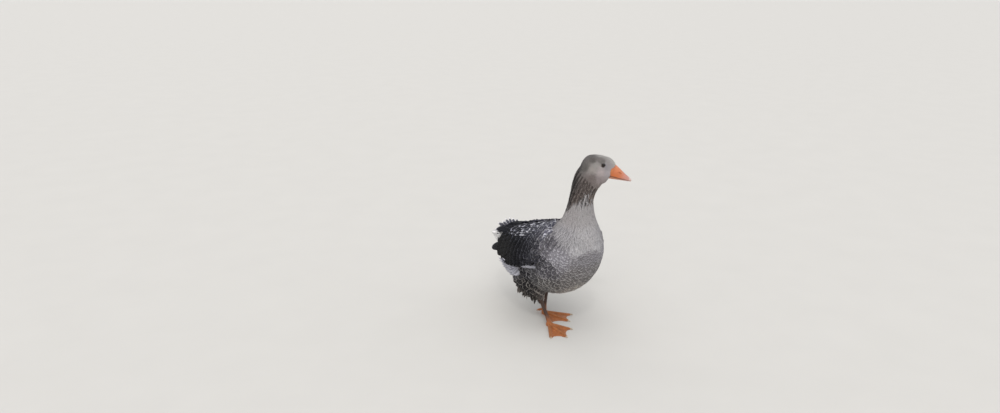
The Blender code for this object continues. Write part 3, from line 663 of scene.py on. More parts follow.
def featherMaterial(name, barbGap, barbDepth, shaftTone, roughness, paintedRootShade, sheen, gloss):
    # keratin vanes: the tone of each, its pale fringe, fine barbs that slope from the shaft, and painted shade
    # toward the root
    material, add = newMaterial(name)
    tone, fringe = (add("Attribute", attribute_name=part) for part in ("tone", "edge"))
    lengthPart, edgePart = tone.node.outputs[3], fringe.node.outputs[3]
    across = add("SeparateXYZ", [add("UVMap", uv_map="vane")])
    along = across.node.outputs[1]
    across = add("Math", [across, 2.0, -1.0], operation="MULTIPLY_ADD")
    across = add("Math", [across], operation="ABSOLUTE")
    place = add("TexCoord", output=3)
    fray = add("TexNoise", {"Vector": place, "Scale": 420.0, "Detail": 2.0})
    fray = add("MapRange", {0: fray, 3: -0.10, 4: 0.10})
    # how near the outline a spot is, along the sides and round the tip
    tip = add("MapRange", {0: along, 1: 0.30, 2: 1.0, 3: 0.0, 4: 1.0})
    tip = add("Math", [tip, 5.0], operation="POWER")
    near = add("Math", [across, 5.0], operation="POWER")
    near = add("Math", [near, tip], operation="ADD")
    near = add("Math", [near, 0.2], operation="POWER")
    near = add("Math", [near, fray], operation="ADD")
    begin = add("Math", [1.0, edgePart], operation="SUBTRACT")
    full = add("Math", [edgePart, -0.55, 1.0], operation="MULTIPLY_ADD")
    inFringe = add("MapRange", {0: near, 1: begin, 2: full}, interpolation_type="SMOOTHSTEP")
    # barbs, drawn coarser than real ones so that they show
    lengthMm = add("Math", [lengthPart, 200.0], operation="MULTIPLY")
    barb = add("Math", [across, -0.2, along], operation="MULTIPLY_ADD")
    barb = add("Math", [barb, lengthMm], operation="MULTIPLY")
    barb = add("Math", [barb, 2 * math.pi / barbGap], operation="MULTIPLY")
    barb = add("Math", [barb], operation="SINE")
    shaft = add("MapRange", {0: across, 1: 0.02, 2: 0.10, 3: 1.0, 4: 0.0})
    inShaft = add("MapRange", {0: along, 1: 0.55, 2: 0.95, 3: 0.5, 4: 0.0})
    inShaft = add("Math", [shaft, inShaft], operation="MULTIPLY")
    colour = add("Mix", {0: inFringe, 6: tone, 7: fringe}, 2, data_type="RGBA")
    colour = add("Mix", {0: inShaft, 6: colour, 7: linear(shaftTone)}, 2, data_type="RGBA")
    # painted shade: each vane darker toward its root, where it lies under the vanes above; the mottle and barb
    # stripes multiplied in after it are the vane's own pattern
    shade = add("MapRange", {0: along, 1: 0.15, 2: 0.70, 3: paintedRootShade, 4: 1.0})
    mottle = add("TexNoise", {"Vector": place, "Scale": 90.0, "Detail": 3.0})
    mottle = add("MapRange", {0: mottle, 3: 0.86, 4: 1.14})
    stripes = add("Math", [barb, 0.05, 1.0], operation="MULTIPLY_ADD")
    for part in (mottle, stripes):
        shade = add("Math", [shade, part], operation="MULTIPLY")
    height = add("Math", [shaft, 2.0, barb], operation="MULTIPLY_ADD")
    finishSurface(
        add, colour, shade, height, barbDepth,
        Roughness=roughness, Sheen_Weight=sheen, Sheen_Roughness=0.5, Specular_IOR_Level=gloss,
    )
    return material


# name, gap between barbs in mm, their depth, tone of the shaft, roughness, painted shade at the root, sheen,
# gloss
smallFeathers = featherMaterial("smallContourFeathers", 0.9, 0.00004, "6A6664", 0.70, 0.90, 0.10, 0.30)
neckFeathers = featherMaterial("furrowedNeckFeathers", 0.9, 0.00006, "5A5654", 0.70, 0.70, 0.0, 0.15)
bodyVanes = featherMaterial("contourFeathers", 1.3, 0.00008, "77736F", 0.70, 0.80, 0.0, 0.12)
paleFeathers = featherMaterial("palePlumage", 1.2, 0.00005, "9C9793", 0.72, 0.90, 0.10, 0.28)
wingVanes = featherMaterial("wingAndTailFeathers", 1.5, 0.00014, "101015", 0.62, 0.75, 0.0, 0.08)

# down and the bases of the feathers, seen only between vanes: the same markings, darker
look = plumageAt(skinPoints)
giveColours(skin.data, "tone", look[:, toneOf] * 0.75 + look[:, edgeOf] * 0.25)
down = grainedMaterial("downAndSkin", None, "TexNoise", 330.0, 4.0, (0.35, 1.05), 0.0012, Roughness=0.9)
finishPiece(skin, "skin", down, fleshNodes)

neckRidges = {
    "count": 19,  # how many round the neck
    "wind": 55,  # and how fast they wind
    "low": (0.392, 0.420),
    "high": (0.505, 0.480),
    "swing": 0.42,  # feathers lean to the ridges
    "mostOfDepth": 0.7,
}


def partRoundEyes(points, lie):
    # as a stream parts round a post
    ahead, up = np.array(headAhead), np.array(headUp)
    along, left, rise = inHead(points).T
    dAlong, dRise = along - eyes["place"][0], rise - eyes["place"][2]
    reach = np.hypot(dAlong, dRise)
    near = (reach < eyes["partedTo"]) & (np.abs(left) > 0.010) & (points[:, 2] > 0.46)
    share = (eyes["parted"] / np.maximum(reach, eyes["parted"])) ** 2 * near
    x, y = lie @ ahead, lie @ up
    nx, ny = dAlong / (reach + 1e-9), dRise / (reach + 1e-9)
    inward = 2 * (x * nx + y * ny)
    return unit(lie + (share * (x - inward * nx))[:, None] * ahead + (share * (y - inward * ny))[:, None] * up)


def featherCoat(name, seed, keep, shape, columns, camber, material, slotName, furrows, hold, steep):
    rng = np.random.default_rng(seed)
    roots = spacedRoots(seed, keep)
    count = len(roots)
    look = plumageAt(roots, rng.normal(0, 1, count))
    length, width, depth, ruffle = (look[:, i] * mm for i in (lengthAt, widthAt, depthAt, ruffleAt))
    lie = partRoundEyes(roots, unit(look[:, lieOf])) + rng.normal(0, 0.07, (count, 3))
    if furrows:
        phase = np.radians(aroundNeck(roots)) * neckRidges["count"] + roots[:, 2] * neckRidges["wind"]
        turn = np.radians(aroundNeck(roots) + neckAt(roots[:, 2])[2])
        beside = np.stack([np.cos(turn), np.sin(turn), np.zeros(count)], -1)
        lie = lie + beside * (neckRidges["swing"] * np.cos(phase))[:, None]
    length *= rng.uniform(0.88, 1.12, count)
    width *= rng.uniform(0.9, 1.1, count)
    spine, normal = layAlong(roots, lie, length, shape, hold)
    share = sharesOf(shape)[None, :, None]
    sunk = steep * depth[:, None, None] * (1 - smoothStep(-0.25, 0.95, share)) + 0.0005
    lift = (ruffle * rng.uniform(0.2, 1.2, count))[:, None, None] * share**2
    shade, roll = np.ones(count), rng.normal(0, 0.05, count)
    if furrows:
        # ridges wind down the neck: vanes sink between them, and their tones carry painted shade in the grooves
        # and painted light on the ridges
        height = spine[:, :, 2]
        strength = furrows * smoothStep(*neckRidges["high"], height) * smoothStep(*neckRidges["low"], height)
        around = np.radians(aroundNeck(spine.reshape(-1, 3))).reshape(count, -1)
        groove = 0.5 - 0.5 * np.sin(around * neckRidges["count"] + height * neckRidges["wind"])
        most = neckRidges["mostOfDepth"] * depth[:, None]
        sunk = sunk + (groove**1.5 * np.minimum(strength, most))[:, :, None]
        # painted shade, darkest in the grooves, and painted light on the ridges, where this factor rises above
        # one
        shade = 1.12 - 0.62 * (groove[:, 0] * 0.4 + groove[:, -1] * 0.6) ** 1.2
    spine = spine + normal * (lift - sunk)
    tones = look[:, toneOf] * (shade * rng.uniform(0.90, 1.10, count))[:, None]
    growVanes(
        name, shape, roots, spine, normal, width, length, tones, look[:, edgeOf] * shade[:, None],
        look[:, shareAt], columns, camber, roll, material,
    )




# which part of the coat a place belongs to

billRim = {"side": 0.0256, "culmen": 0.0115, "gape": 0.0042, "low": -0.0055, "high": 0.0042, "bow": 8.0}
zones = {
    "headFloor": 0.44,
    "headLow": -0.062,  # rise in the head, higher toward the nape
    "headSlope": 0.55,
    "headBack": -0.075,
    "napeFront": -0.014,
    "upperNeckLow": 0.405,
    "breastHigh": 0.30,
    "breastBack": -0.085,
    "mantleLow": 0.31,
    "wingFront": -0.120,
    "wingUnder": 0.006,
    "wingOver": 0.030,
    "rumpFront": 0.122,
    "rumpHalf": 0.056,
    "rumpHigh": 0.240,
    "tailEnd": 0.205,
    "tailSideFront": 0.168,
    "tailHalf": 0.032,
    "tailLow": 0.203,
}


def billEdge(left, rise):
    # how far forward the feathers reach, furthest along the culmen
    rise = rise + billRim["bow"] * left**2
    peak = billRim["culmen"] * smoothStep(billRim["low"], billRim["high"], rise)
    return billRim["side"] + peak + billRim["gape"] * smoothStep(-0.012, -0.028, rise)


def onFace(points):
    # the head without the bill and the bare eyelids
    along, left, rise = inHead(points).T
    low = zones["headLow"] + zones["headSlope"] * np.clip(-0.004 - along, 0, 1)
    head = (points[:, 2] > zones["headFloor"]) & (rise > low) & (along > zones["headBack"])
    behind, ahead, half = eyes["bare"]
    dAlong, dRise = along - eyes["place"][0], rise - eyes["place"][2] + eyes["bareDrop"]
    lids = (dAlong / np.where(dAlong > 0, ahead, behind)) ** 2 + (dRise / half) ** 2 < 1.0
    return head, head & ~lids & ((along <= zones["napeFront"]) | (along <= billEdge(left, rise))), along


def ragged(points, reach=0.009):
    x, y, z = points.T
    return reach * np.sin(x * 310 + y * 170) * np.sin(z * 290 + x * 130)


# the folded wing's outline in side view: y, then out and up for its top, bulge and lower edge
wingLine = np.array([
    (-0.1343, 0.0860, 0.312, 0.1035, 0.282, 0.1110, 0.250),
    (-0.1023, 0.0340, 0.342, 0.0990, 0.302, 0.1215, 0.224),
    (-0.0483, 0.0050, 0.325, 0.0950, 0.285, 0.1240, 0.206),
    (0.0117, 0.0040, 0.304, 0.0880, 0.270, 0.1190, 0.190),
    (0.0717, 0.0040, 0.284, 0.0735, 0.257, 0.1035, 0.176),
    (0.1267, 0.0070, 0.263, 0.0585, 0.241, 0.0850, 0.175),
    (0.1667, 0.0180, 0.242, 0.0520, 0.223, 0.0730, 0.177),
    (0.1940, 0.0400, 0.214, 0.0440, 0.211, 0.0480, 0.208),
])


def onWing(points):
    # inside the outline of the folded wing, seen from the side
    out, y, z = np.abs(points[:, 0]), points[:, 1], points[:, 2]
    inner, high, low = (np.interp(y, wingLine[:, 0], wingLine[:, i]) for i in (1, 2, 6))
    front = zones["wingFront"] + 0.004 * np.sin(z * 700)
    under = zones["wingUnder"] * (smoothStep(-0.110, -0.080, y) + smoothStep(0.10, 0.15, y))
    rump = (y > zones["rumpFront"]) & (out < zones["rumpHalf"]) & (z < zones["rumpHigh"])
    inside = (y > front) & (z > low - under) & (z < high + zones["wingOver"])
    return inside & (out > np.maximum(inner - 0.008, 0.010)) & ~rump


def onTailSide(points):
    # the tail's own feathers cover its sides and its end
    out, y, z = np.abs(points[:, 0]), points[:, 1], points[:, 2]
    side = (y > zones["tailSideFront"]) & (out > zones["tailHalf"]) & (z > zones["tailLow"])
    return side | (y > zones["tailEnd"])


def zonesAt(points):
    # for each coat, which points it covers
    y, z = points[:, 1], points[:, 2]
    head, feathered, along = onFace(points)
    uneven, body = ragged(points), ~onWing(points)
    low, back, mantle = z <= zones["upperNeckLow"], y + uneven >= zones["breastBack"], zones["mantleLow"]
    return {
        "faceCoat": feathered & (along > zones["napeFront"]),
        "napeCoat": feathered & (along <= zones["napeFront"]),
        "upperNeckCoat": ~head & ~low,
        "lowerNeckCoat": low & (z + uneven > zones["breastHigh"]) & (y < zones["breastBack"]) & body,
        "breastCoat": (z + uneven <= zones["breastHigh"]) & ~back & body,
        "bodyCoat": back & ~onTailSide(points) & (z < mantle) & body,
        "mantleCoat": (y >= zones["breastBack"]) & (z >= mantle) & body,
    }


# seed, shape, columns, arch, material, slot, furrow depth, how close it hugs the hull, how steeply it rises
coat = {
    "faceCoat": (11, "tuft", 3, 0.06, smallFeathers, "mid_grey_plumage", 0.0, 0.95, 0.18),
    "napeCoat": (18, "tuft", 3, 0.08, smallFeathers, "brown_grey_plumage", 0.0, 0.95, 0.28),
    "upperNeckCoat": (12, "pointed", 3, 0.16, neckFeathers, "brown_grey_plumage", 0.0042, 0.95, 0.75),
    "lowerNeckCoat": (13, "soft", 3, 0.04, paleFeathers, "pale_grey_plumage", 0.0, 0.9, 0.14),
    "breastCoat": (14, "round", 5, 0.06, paleFeathers, "pale_grey_plumage", 0.0, 0.85, 0.20),
    "bodyCoat": (15, "round", 5, 0.10, bodyVanes, "mid_grey_plumage", 0.0, 0.75, 0.32),
    "mantleCoat": (16, "round", 5, 0.10, bodyVanes, "slate_wing_plumage", 0.0, 0.8, 0.35),
}
for name, (seed, *settings) in coat.items():
    featherCoat(name, seed, lambda points: zonesAt(points)[name], *settings)


# the folded wings

# s runs from the shoulder to the tip, v from the back to the lower edge; lengths in mm
wingStations = {
    # s, gap along, gap across, length, width, drop, tone, edge, share of edge, ruffle
    "lesserCoverts": (-0.01, 9.0, 6.5, 30, 13, 1.0, "62616C", "CCCBD4", 0.22, 0.9),
    "lesserEnd": (0.14, 12, 7.0, 40, 13, 1.0, "3A3A45", "B0B0BD", 0.17, 0.9),
    "medianCoverts": (0.28, 18, 8.0, 60, 14, 0.9, "181923", "7E7F8F", 0.12, 0.9),
    "greaterCoverts": (0.44, 26, 8.5, 84, 15, 0.7, "0B0C12", "4E4F62", 0.09, 0.7),
    "tertials": (0.60, 34, 8.5, 104, 17, 0.4, "090A0F", "484858", 0.07, 0.5),
    "lastTertials": (0.72, 36, 8.5, 96, 18, 0.2, "08080D", "50505E", 0.08, 0.4),
}
scapularStations = {
    "firstScapulars": (0.02, 16, 8, 62, 14, 0.75, "4A4A56", "DADAE2", 0.22, 1.6),
    "scapulars": (0.22, 22, 8, 84, 15, 0.70, "282933", "D6D6E0", 0.18, 1.6),
    "lastScapulars": (0.50, 30, 9, 96, 17, 0.45, "12131A", "9C9CAC", 0.11, 1.0),
}
wing = {
    "front": -0.1343,
    "span": 0.3283,
    "shadeFrom": 0.18,  # darker toward the lower edge
    "shadeTo": 0.55,
    "toneShade": 0.72,
    "edgeShade": 0.82,
    "hangFrom": 0.62,  # there the vanes hang straight and don't wrap round
    "hangTo": 0.92,
    "hang": 0.85,
    "lean": (0.97, 0.05, 0.24),
}


def wingChart(s, v):
    y = wing["front"] + wing["span"] * s
    row = [np.interp(y, wingLine[:, 0], wingLine[:, i]) for i in range(7)]
    top, bulge, low = np.array(row[1:3]), np.array(row[3:5]), np.array(row[5:7])
    out, up = top * (2 * v - 1) * (v - 1) + bulge * 4 * v * (1 - v) + low * v * (2 * v - 1)
    return np.array((out, y, up))


def wingPiece(name, stations, side, seed, vTo, coatDepth):
    rng = np.random.default_rng(seed)
    table = np.array([[*r[:6], *linear(r[6])[:3], *linear(r[7])[:3], *r[8:]] for r in stations.values()])
    roots, lies, looks, downs = [], [], [], []
    s, r = table[0, 0], 0
    while s < table[-1, 0]:
        look = [np.interp(s, table[:, 0], table[:, i]) for i in range(1, table.shape[1])]
        cuts = [wingChart(s, v) for v in np.linspace(0.0, vTo, 13)]
        arc = sum(np.linalg.norm(q - p) for p, q in zip(cuts, cuts[1:]))
        number = max(int(arc / (look[1] * mm)), 2)
        for j in range(number):
            v = vTo * (j + (0.5 if r % 2 else 0.0) + rng.uniform(-0.12, 0.12)) / number
            here = wingChart(s + rng.uniform(-0.006, 0.006), v)
            there = wingChart(s + 0.05, min(v + look[4] * 0.05, 0.99))
            roots.append((here + np.array((0.9, 0.0, 0.45)) * 0.012) * (side, 1, 1))
            lies.append((there - here) * (side, 1, 1))
            looks.append(look)
            downs.append(v)
        s, r = s + look[0] * mm / wing["span"], r + 1
    roots, looks, downs = np.array(roots), np.array(looks), np.array(downs)
    number = len(roots)
    lies = unit(np.array(lies)) + rng.normal(0, 0.035, (number, 3))
    lengths = looks[:, 2] * mm * rng.uniform(0.92, 1.08, number)
    widths = looks[:, 3] * mm * rng.uniform(0.92, 1.08, number)
    spine, normal = layAlong(roots, lies, lengths, "long", 0.85)
    hang = (wing["hang"] * smoothStep(wing["hangFrom"], wing["hangTo"], downs))[:, None, None]
    normal = unit(normal * (1 - hang) + np.array(wing["lean"]) * (side, 1, 1) * hang)
    share = sharesOf("long")[None, :, None]
    sunk = coatDepth * (1 - smoothStep(-0.2, 0.95, share)) + 0.0003
    lift = (looks[:, 12] * mm * rng.uniform(0.2, 1.2, number))[:, None, None] * share**2
    dark = smoothStep(wing["shadeFrom"], wing["shadeTo"], downs)
    toneShade = (1 - wing["toneShade"] * dark) * rng.uniform(0.75, 1.25, number)
    edgeShade = (1 - wing["edgeShade"] * dark) * rng.uniform(0.60, 1.20, number)
    edgeShares = looks[:, 11] * rng.uniform(0.6, 1.4, number)
    growVanes(
        name, "long", roots, spine + normal * (lift - sunk), normal, widths, lengths,
        looks[:, 5:8] * toneShade[:, None], looks[:, 8:11] * edgeShade[:, None], edgeShares,
        5, 0.12, rng.normal(0.05, 0.06, number) * side, wingVanes,
    )


for sideName, side, seed in (("left", 1, 21), ("right", -1, 22)):
    wingPiece("wingCoat_" + sideName, wingStations, side, seed, 0.95, 0.0040)
    wingPiece("scapulars_" + sideName, scapularStations, side, seed + 10, 0.32, 0.0025)


# flight feathers and tail, which stand clear of the flesh

def setInRows(count, sides, place):
    # root, tip and facing of each feather; t runs from 0 to 1 over a side
    rows = [place(side, k, k / (count - 1)) for side in sides for k in range(count)]
    return [np.array(part, float) for part in zip(*rows)]


def freeVanes(
    name, rows, bow, widths, tone, edge, edgeShare, seed, material, slotName, replaced=(),
    shape="long", camber=0.12,
):
    # straight shafts with a slight bow, roots and tips given
    rng = np.random.default_rng(seed)
    roots, tips, ups = rows
    count, shares = len(roots), sharesOf(shape)
    spine = roots[:, None] + (tips - roots)[:, None] * shares[None, :, None]
    spine += ups[:, None] * (bow * 4 * shares * (1 - shares))[None, :, None]
    tones = np.array(linear(tone)[:3]) * rng.uniform(0.85, 1.15, count)[:, None]
    edges = np.array(linear(edge)[:3]) * rng.uniform(0.9, 1.1, count)[:, None]
    growVanes(
        name, shape, roots, spine, np.repeat(ups[:, None], len(shares), axis=1),
        np.broadcast_to(widths, count), np.linalg.norm(tips - roots, axis=1), tones, edges, edgeShare,
        5, camber, np.zeros(count), material, replaced,
    )


def primaryPlace(side, k, t):
    # the outermost lies on top
    up = np.array((side, 0.08, 0.35)) / 1.06
    root = np.array((side * (0.071 + 0.003 * t), 0.092 + 0.020 * t, 0.218 - 0.018 * t))
    tip = np.array((
        side * (0.0505 + 0.009 * (1 - t)), 0.2350 - 0.066 * (1 - t) ** 1.2, 0.162 + 0.034 * (1 - t)
    ))
    return root - up * 0.0011 * (k - 2), tip - up * 0.0009 * (k - 2), up


def roofPlace(side, k, t):
    root = side * (0.012 + 0.040 * t), 0.075 - 0.010 * t, 0.277 - 0.022 * t
    tip = side * (0.007 + 0.037 * t), 0.214 - 0.008 * t, 0.2405 - 0.004 * t - 0.0006 * k
    return root, tip, np.array((side * (0.15 + 0.5 * t), 0.2, 1.0)) / (1.03 + 0.2 * t)


def tailPlace(side, k, t):
    f = 2 * t - 1
    rank = abs(f)
    root = 0.026 * f, 0.120, 0.2245 - 0.0050 * rank
    tip = 0.0500 * f, 0.2405 - 0.017 * rank**2, 0.2235 - 0.0050 * rank + 0.0006 * (k % 2)
    return root, tip, (0.25 * f, 0.05, 1.0)


def tailSidePlace(side, k, t):
    root = side * 0.034, 0.142 - 0.012 * t, 0.200 + 0.014 * t
    tip = side * (0.0495 + 0.0015 * t), 0.203 + 0.018 * t, 0.2025 + 0.0165 * t
    return root, tip, (side * 0.90, 0.10, 0.42)


# how many on a side, width, tone, edge, share of edge
flight = {
    "primaries": (10, 0.019, "0F1016", "4A4B57", 0.07),
    "tertialRoof": (6, 0.023, "14151C", "7E7E8B", 0.08),
    "tailFeathers": (16, 0.021, "2A2A31", "E6E4E4", 0.34),
    "tailSides": (4, 0.016, "DEDCDC", "EFEDED", 0.30),
}
slate, white = (wingVanes, "slate_wing_plumage"), (paleFeathers, "white_plumage")
count, *look = flight["primaries"]
for sideName, side in (("left", 1), ("right", -1)):
    rows = setInRows(count, (side,), primaryPlace)
    freeVanes("primaries_" + sideName, rows, 0.004, *look, 31, *slate, ["wingtip_" + sideName])
# the longest tertials meet over the rump as a low roof
count, *look = flight["tertialRoof"]
freeVanes("tertialRoof", setInRows(count, (1, -1), roofPlace), 0.005, *look, 34, *slate)
count, *look = flight["tailFeathers"]
rows = setInRows(count, (1,), tailPlace)
freeVanes("tailFeathers", rows, 0.002, *look, 32, wingVanes, "mid_grey_plumage", ["tail"])
# white feathers close the sides of the tail, down to the wing tips
count, *look = flight["tailSides"]
freeVanes("tailSides", setInRows(count, (1, -1), tailSidePlace), 0.002, *look, 36, *white)

# a few pale-edged feathers of the rump stand up
rumpTuft = [
    # root, tip, width in mm
    ((-0.022, 0.170, 0.243), (-0.033, 0.189, 0.261), 11),
    ((-0.016, 0.168, 0.245), (-0.022, 0.188, 0.268), 11),
    ((-0.010, 0.166, 0.246), (-0.009, 0.186, 0.269), 10),
    ((-0.003, 0.163, 0.247), (0.001, 0.180, 0.267), 11),
    ((0.003, 0.160, 0.248), (0.012, 0.172, 0.265), 10),
    ((-0.013, 0.178, 0.243), (-0.020, 0.203, 0.254), 12),
    ((-0.024, 0.180, 0.241), (-0.040, 0.206, 0.252), 12),
]
roots, tips, widths = (np.array(part) for part in zip(*rumpTuft))
rows = roots, tips, np.array([(-0.48, -0.80, 0.36)] * len(rumpTuft))
freeVanes(
    "rumpTuft", rows, 0.003, widths * mm, "4C4C56", "E9E8EA", 0.30, 35, bodyVanes, "white_plumage",
    shape="pointed", camber=0.25,
)


# loose feathers that break the outline

# place, lie, length and width in mm, tone, edge, share of edge, how far the tip stands up in mm
looseFeathers = [
    ((-0.112, -0.108, 0.216), (0, 1, -0.12), 46, 12, "ABABB6", "DADAE2", 0.2, 3),
    ((-0.114, -0.090, 0.210), (0, 1, -0.10), 44, 11, "A5A5B0", "DADAE2", 0.2, 3),
    ((-0.112, -0.072, 0.205), (0, 1, -0.14), 40, 11, "9B9BA8", "D0D0DA", 0.2, 3),
]
flankDown = []
# on each side: dark tufts of the thigh, pale down of the flank, and what hangs below the thigh
counts = {"thighTufts": 46, "flankDown": 250, "thighFringe": 90, "thighFluff": 60}
rng = np.random.default_rng(41)
for side in (-1, 1):
    for _ in range(counts["thighTufts"]):
        t, w = rng.random(), rng.random()
        place = (side * (0.098 - 0.030 * w), 0.012 + 0.063 * t, 0.134 - 0.037 * w)
        lie = (side * 0.1, 0.60 + 0.5 * t, -1.0)
        edge = "C9C4C0" if rng.random() < 0.3 else "6F6A68"
        size = rng.uniform(30, 42), rng.uniform(12, 17)
        looseFeathers.append((place, lie, *size, "191819", edge, 0.14, rng.uniform(6, 13)))
for side in (-1, 1):
    for _ in range(counts["flankDown"]):
        t, w = rng.random(), rng.random()
        place = (side * (0.112 - 0.016 * t), -0.020 + 0.105 * t, 0.190 - (0.022 + 0.026 * t) * w - 0.010 * t)
        lie = (side * 0.12, 1.0, -0.65 + 0.45 * t + rng.normal(0, 0.22))
        tone = "92929C" if rng.random() < 0.5 else "B6B6C0"
        size = rng.uniform(22, 36), rng.uniform(4.5, 8)
        flankDown.append((place, lie, *size, tone, "C2C2CB", 0.3, rng.uniform(3, 13)))


def loosePiece(name, rows, shape, seed):
    rng = np.random.default_rng(seed)
    places, lies, lengths, widths, tones, edges, edgeShares, rises = zip(*rows)
    roots = np.array([hullTree.find_nearest(Vector(place))[0] for place in places])
    lengths, widths, rises = (np.array(sizes) * mm for sizes in (lengths, widths, rises))
    spine, normal = layAlong(roots, [Vector(lie).normalized() for lie in lies], lengths, shape, 0.6)
    share = sharesOf(shape)[None, :, None]
    spine = spine + normal * (rises[:, None, None] * share**1.6 - 0.004 * (1 - share) ** 3 + 0.0012)
    tones, edges = (np.array([linear(tone)[:3] for tone in part]) for part in (tones, edges))
    growVanes(
        name, shape, roots, spine, normal, widths, lengths, tones, edges, edgeShares,
        5, 0.2, rng.normal(0, 0.2, len(rows)), bodyVanes,
    )


loosePiece("looseFeathers", looseFeathers, "round", 42)
# fluffy feathers hang below each thigh
rng = np.random.default_rng(44)
for name, tone, edge in (("thighFringe", "2A2726", "8A837D"), ("thighFluff", "5A5450", "9C958E")):
    rows, widths = [], []
    for side in (-1, 1):
        for _ in range(counts[name]):
            y, out = rng.uniform(-0.048, 0.048), rng.uniform(0.046, 0.100)
            near = hullTree.find_nearest(Vector((side * out, y, 0.083)))[0]
            root = np.array(near) + (0, 0, rng.uniform(0.004, 0.016))
            hang = (side * rng.uniform(-0.012, 0.004), rng.uniform(0.000, 0.028), -rng.uniform(0.010, 0.034))
            rows.append((root, root + hang, (side * 0.9, rng.uniform(-0.6, 0.6), -0.1)))
            widths.append(rng.uniform(0.006, 0.011))
    rows = [np.array(part) for part in zip(*rows)]
    freeVanes(
        name, rows, 0.003, np.array(widths), tone, edge, 0.22, 45, bodyVanes, "slate_wing_plumage",
        shape="pointed", camber=0.15,
    )
loosePiece("flankDown", flankDown, "pointed", 43)


# bill

def billMaterial(name, baseTone, tipTone, rootTone):
    # keratin sheath over bone: orange, pinker and paler to the tip, with a painted highlight along the top,
    # satin, faintly pitted
    material, add = newMaterial(name)
    place = add("TexCoord", output=3)
    offset = add("VectorMath", [place, tuple(headCentre)], operation="SUBTRACT")
    along, rise = (
        add("VectorMath", [offset, tuple(axis)], 1, operation="DOT_PRODUCT") for axis in (headAhead, headUp)
    )
    toTip = add("MapRange", {0: along, 1: 0.046, 2: 0.082}, interpolation_type="SMOOTHSTEP")
    # painted highlight: the colour mixes toward the pale tone D69E80 up the top of the bill, as if lit from
    # above
    culmen = add("MapRange", {0: rise, 1: -0.022, 2: 0.006, 3: 0.0, 4: 0.35})
    atRoot = add("MapRange", {0: along, 1: 0.032, 2: 0.024}, interpolation_type="SMOOTHSTEP")
    # the mouth is a dark line, faint toward the tip
    mouth = add("Math", [rise, 0.0291], operation="ADD")
    mouth = add("Math", [mouth], operation="ABSOLUTE")
    mouth = add("MapRange", {0: mouth, 1: 0.0019, 2: 0.0006, 3: 0.0, 4: 0.85}, interpolation_type="SMOOTHSTEP")
    fade = add("MapRange", {0: along, 1: 0.084, 2: 0.060, 3: 0.15, 4: 1.0})
    mouth = add("Math", [mouth, fade], operation="MULTIPLY")
    colour = linear(baseTone)
    for share, tone in ((toTip, tipTone), (culmen, "D69E80"), (atRoot, rootTone), (mouth, "552C20")):
        colour = add("Mix", {0: share, 6: colour, 7: linear(tone)}, 2, data_type="RGBA")
    cloud = add("TexNoise", {"Vector": place, "Scale": 120.0, "Detail": 4.0})
    shade = add("MapRange", {0: cloud, 3: 0.84, 4: 1.12})
    pits = add("TexVoronoi", {"Vector": place, "Scale": 900.0})
    finishSurface(
        add, colour, shade, pits, 0.00012, Roughness=0.38, IOR=1.54, Subsurface_Weight=0.12,
        Subsurface_Radius=(0.004, 0.0016, 0.0008), Subsurface_Scale=0.4,
    )
    return material


billOrange = billMaterial("keratinBillOrange", "BC6634", "B5837A", "BC7644")
billLowOrange = billMaterial("keratinBillUnderside", "BC7B5C", "C09486", "B48874")
# a harder and paler plate
nailHorn = grainedMaterial(
    "paleNailHorn", "C8AEA6", "TexNoise", 500.0, 3.0, (0.82, 1.10), 0.00005, Roughness=0.32, IOR=1.54,
    Subsurface_Weight=0.15, Subsurface_Radius=(0.003, 0.002, 0.0012), Subsurface_Scale=0.4,
)

bill = {
    "voxel": 0.0007,
    "nailVoxel": 0.00045,
    "cut": 0.0165,  # how far along the head the sheath begins, under the feathers
    "melt": (0.013, 0.042, 0.050),  # sheath and brow melt together: from, fully to, fading to
    "meltRounds": 150,
    "sunk": 0.0030,  # behind the edge of the feathers
    "brow": 0.0010,
    "lip": 0.00025,  # along that edge
    "mouth": -0.0288,  # rise of the closed mouth's line
    "brim": 0.0005,
    "nostril": (0.0530, -0.0146),  # along, rise
    "nostrilHalf": (0.0060, 0.0017),
    "nostrilSlope": -0.31,
    "nostrilDepth": 0.0026,
    "nostrilRim": 0.0005,
}


def shapeBill(piece):
    points, normals = pointsOf(piece), normalsOf(piece)
    along, left, rise = inHead(points).T
    ahead = along - billEdge(left, rise) - 0.0004
    push = bill["lip"] * bell(ahead - 0.0012, 0.0010) - bill["sunk"] * smoothStep(0.0, -0.0022, ahead)
    push -= bill["brow"] * smoothStep(-0.006, 0.000, rise) * smoothStep(0.0050, 0.0, ahead)
    dAlong, dRise = along - bill["nostril"][0], rise - bill["nostril"][1]
    dRise = dRise - dAlong * bill["nostrilSlope"]
    hollow = (dAlong / bill["nostrilHalf"][0]) ** 2 + (dRise / bill["nostrilHalf"][1]) ** 2
    nostril = bill["nostrilRim"] * bell(np.sqrt(hollow) - 1.35, math.sqrt(0.06))
    nostril -= bill["nostrilDepth"] * smoothStep(1.1, 0.35, hollow)
    push += nostril * (np.abs(left) > 0.004)
    push += bill["brim"] * bell(rise - bill["mouth"] - 0.0012, 0.0009) * smoothStep(0.028, 0.034, along)
    setPoints(piece, points + normals * push[:, None])


